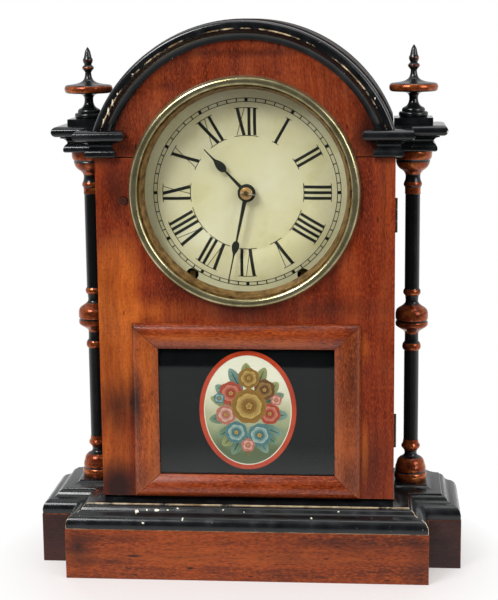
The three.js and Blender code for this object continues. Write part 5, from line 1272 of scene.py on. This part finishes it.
lit = add(floor_finish, "AddShader", {0: cloth, 1: dark_lift})
mirrored = add(floor_finish, "Emission", {"Color": (1, 1, 1, 1), "Strength": mirrored_table})
table = add(floor_finish, "MixShader", {0: rays["Is Glossy Ray"], 1: lit, 2: mirrored})
white = add(floor_finish, "Emission", {"Color": (1, 1, 1, 1), "Strength": 1.0})
away = maths(floor_finish, "MULTIPLY", far, seen)
both = add(floor_finish, "MixShader", {0: away, 1: table, 2: white})
add(floor_finish, "OutputMaterial", {"Surface": both})
floor.data.materials.append(floor_finish)
print("staged:", floor.name)

# %% [markdown]
# ## Light
# Soft studio light: one large lamp from the upper left, a weaker one from the right, one above, and a pale
# room. The room is plain white where the camera or a window looks straight at it. It lights the clock more
# from above than from below, and a mirror sees it bright beside the clock and dark in front, where the
# photographer stands.


# %% Lamps and room
def lamp(name, place_of, target, size, watts, colour=(1, 1, 1)):
    light = bpy.data.lights.new(name, "AREA")
    light.size = size
    light.energy = watts
    light.color = colour
    holder = bring_in(name, light)
    holder.location = place_of
    holder.rotation_euler = (Vector(target) - Vector(place_of)).to_track_quat("-Z", "Y").to_euler()


lamp("key", (-0.9, -1.3, 1.5), (0, 0, 0.2), 0.8, 34)
lamp("fill", (1.3, -1.0, 0.9), (0, 0, 0.2), 0.8, 11)
lamp("top", (0.1, 0.1, 1.9), (0, 0, 0.2), 1.0, 6)
room = bpy.data.worlds.new("Pale room")
bpy.context.scene.world = room
room.use_nodes = True
room.node_tree.nodes.clear()
rays = add(room, "LightPath").outputs
direct = maths(room, "MAXIMUM", rays["Is Camera Ray"], rays["Is Transmission Ray"])
heading = add(room, "SeparateXYZ", {0: add(room, "TexCoord").outputs["Generated"]})
beside = spread(room, heading.outputs["Y"], -0.85, -0.2)
plain = spread(room, heading.outputs["Z"], -0.3, 0.8, 0.35, 0.6)
mirror = maths(room, "MULTIPLY_ADD", beside, 0.7, 0.02)
for_glossy = mix(room, rays["Is Glossy Ray"], plain, mirror, "FLOAT")
strength = mix(room, direct, for_glossy, 1.0, "FLOAT")
sky = add(room, "Background", {"Color": (1, 1, 1, 1), "Strength": strength})
add(room, "OutputWorld", {"Surface": sky})
bpy.context.scene.view_settings.view_transform = "Standard"
print("lamps:", 3)

# %% [markdown]
# ## Camera
# The photograph was taken from a little to the right and from above, with a long lens.

# %% Camera
PITCH, YAW, ROLL = math.radians(10.179), math.radians(4.934), math.radians(-0.577)
forward = Vector((-math.sin(YAW) * math.cos(PITCH), math.cos(YAW) * math.cos(PITCH), -math.sin(PITCH)))
right = forward.cross(Vector((0, 0, 1))).normalized()
up = right.cross(forward)
rolled_right = right * math.cos(ROLL) + up * math.sin(ROLL)
rolled_up = up * math.cos(ROLL) - right * math.sin(ROLL)
lens = bpy.data.cameras.new("camera")
lens.lens = 93.6
lens.sensor_width = 36
camera = bring_in("camera", lens)
turned = Matrix((rolled_right, rolled_up, -forward)).transposed().to_4x4()
camera.matrix_world = Matrix.Translation((0.10304, -1.19504, 0.42559)) @ turned
bpy.context.scene.camera = camera
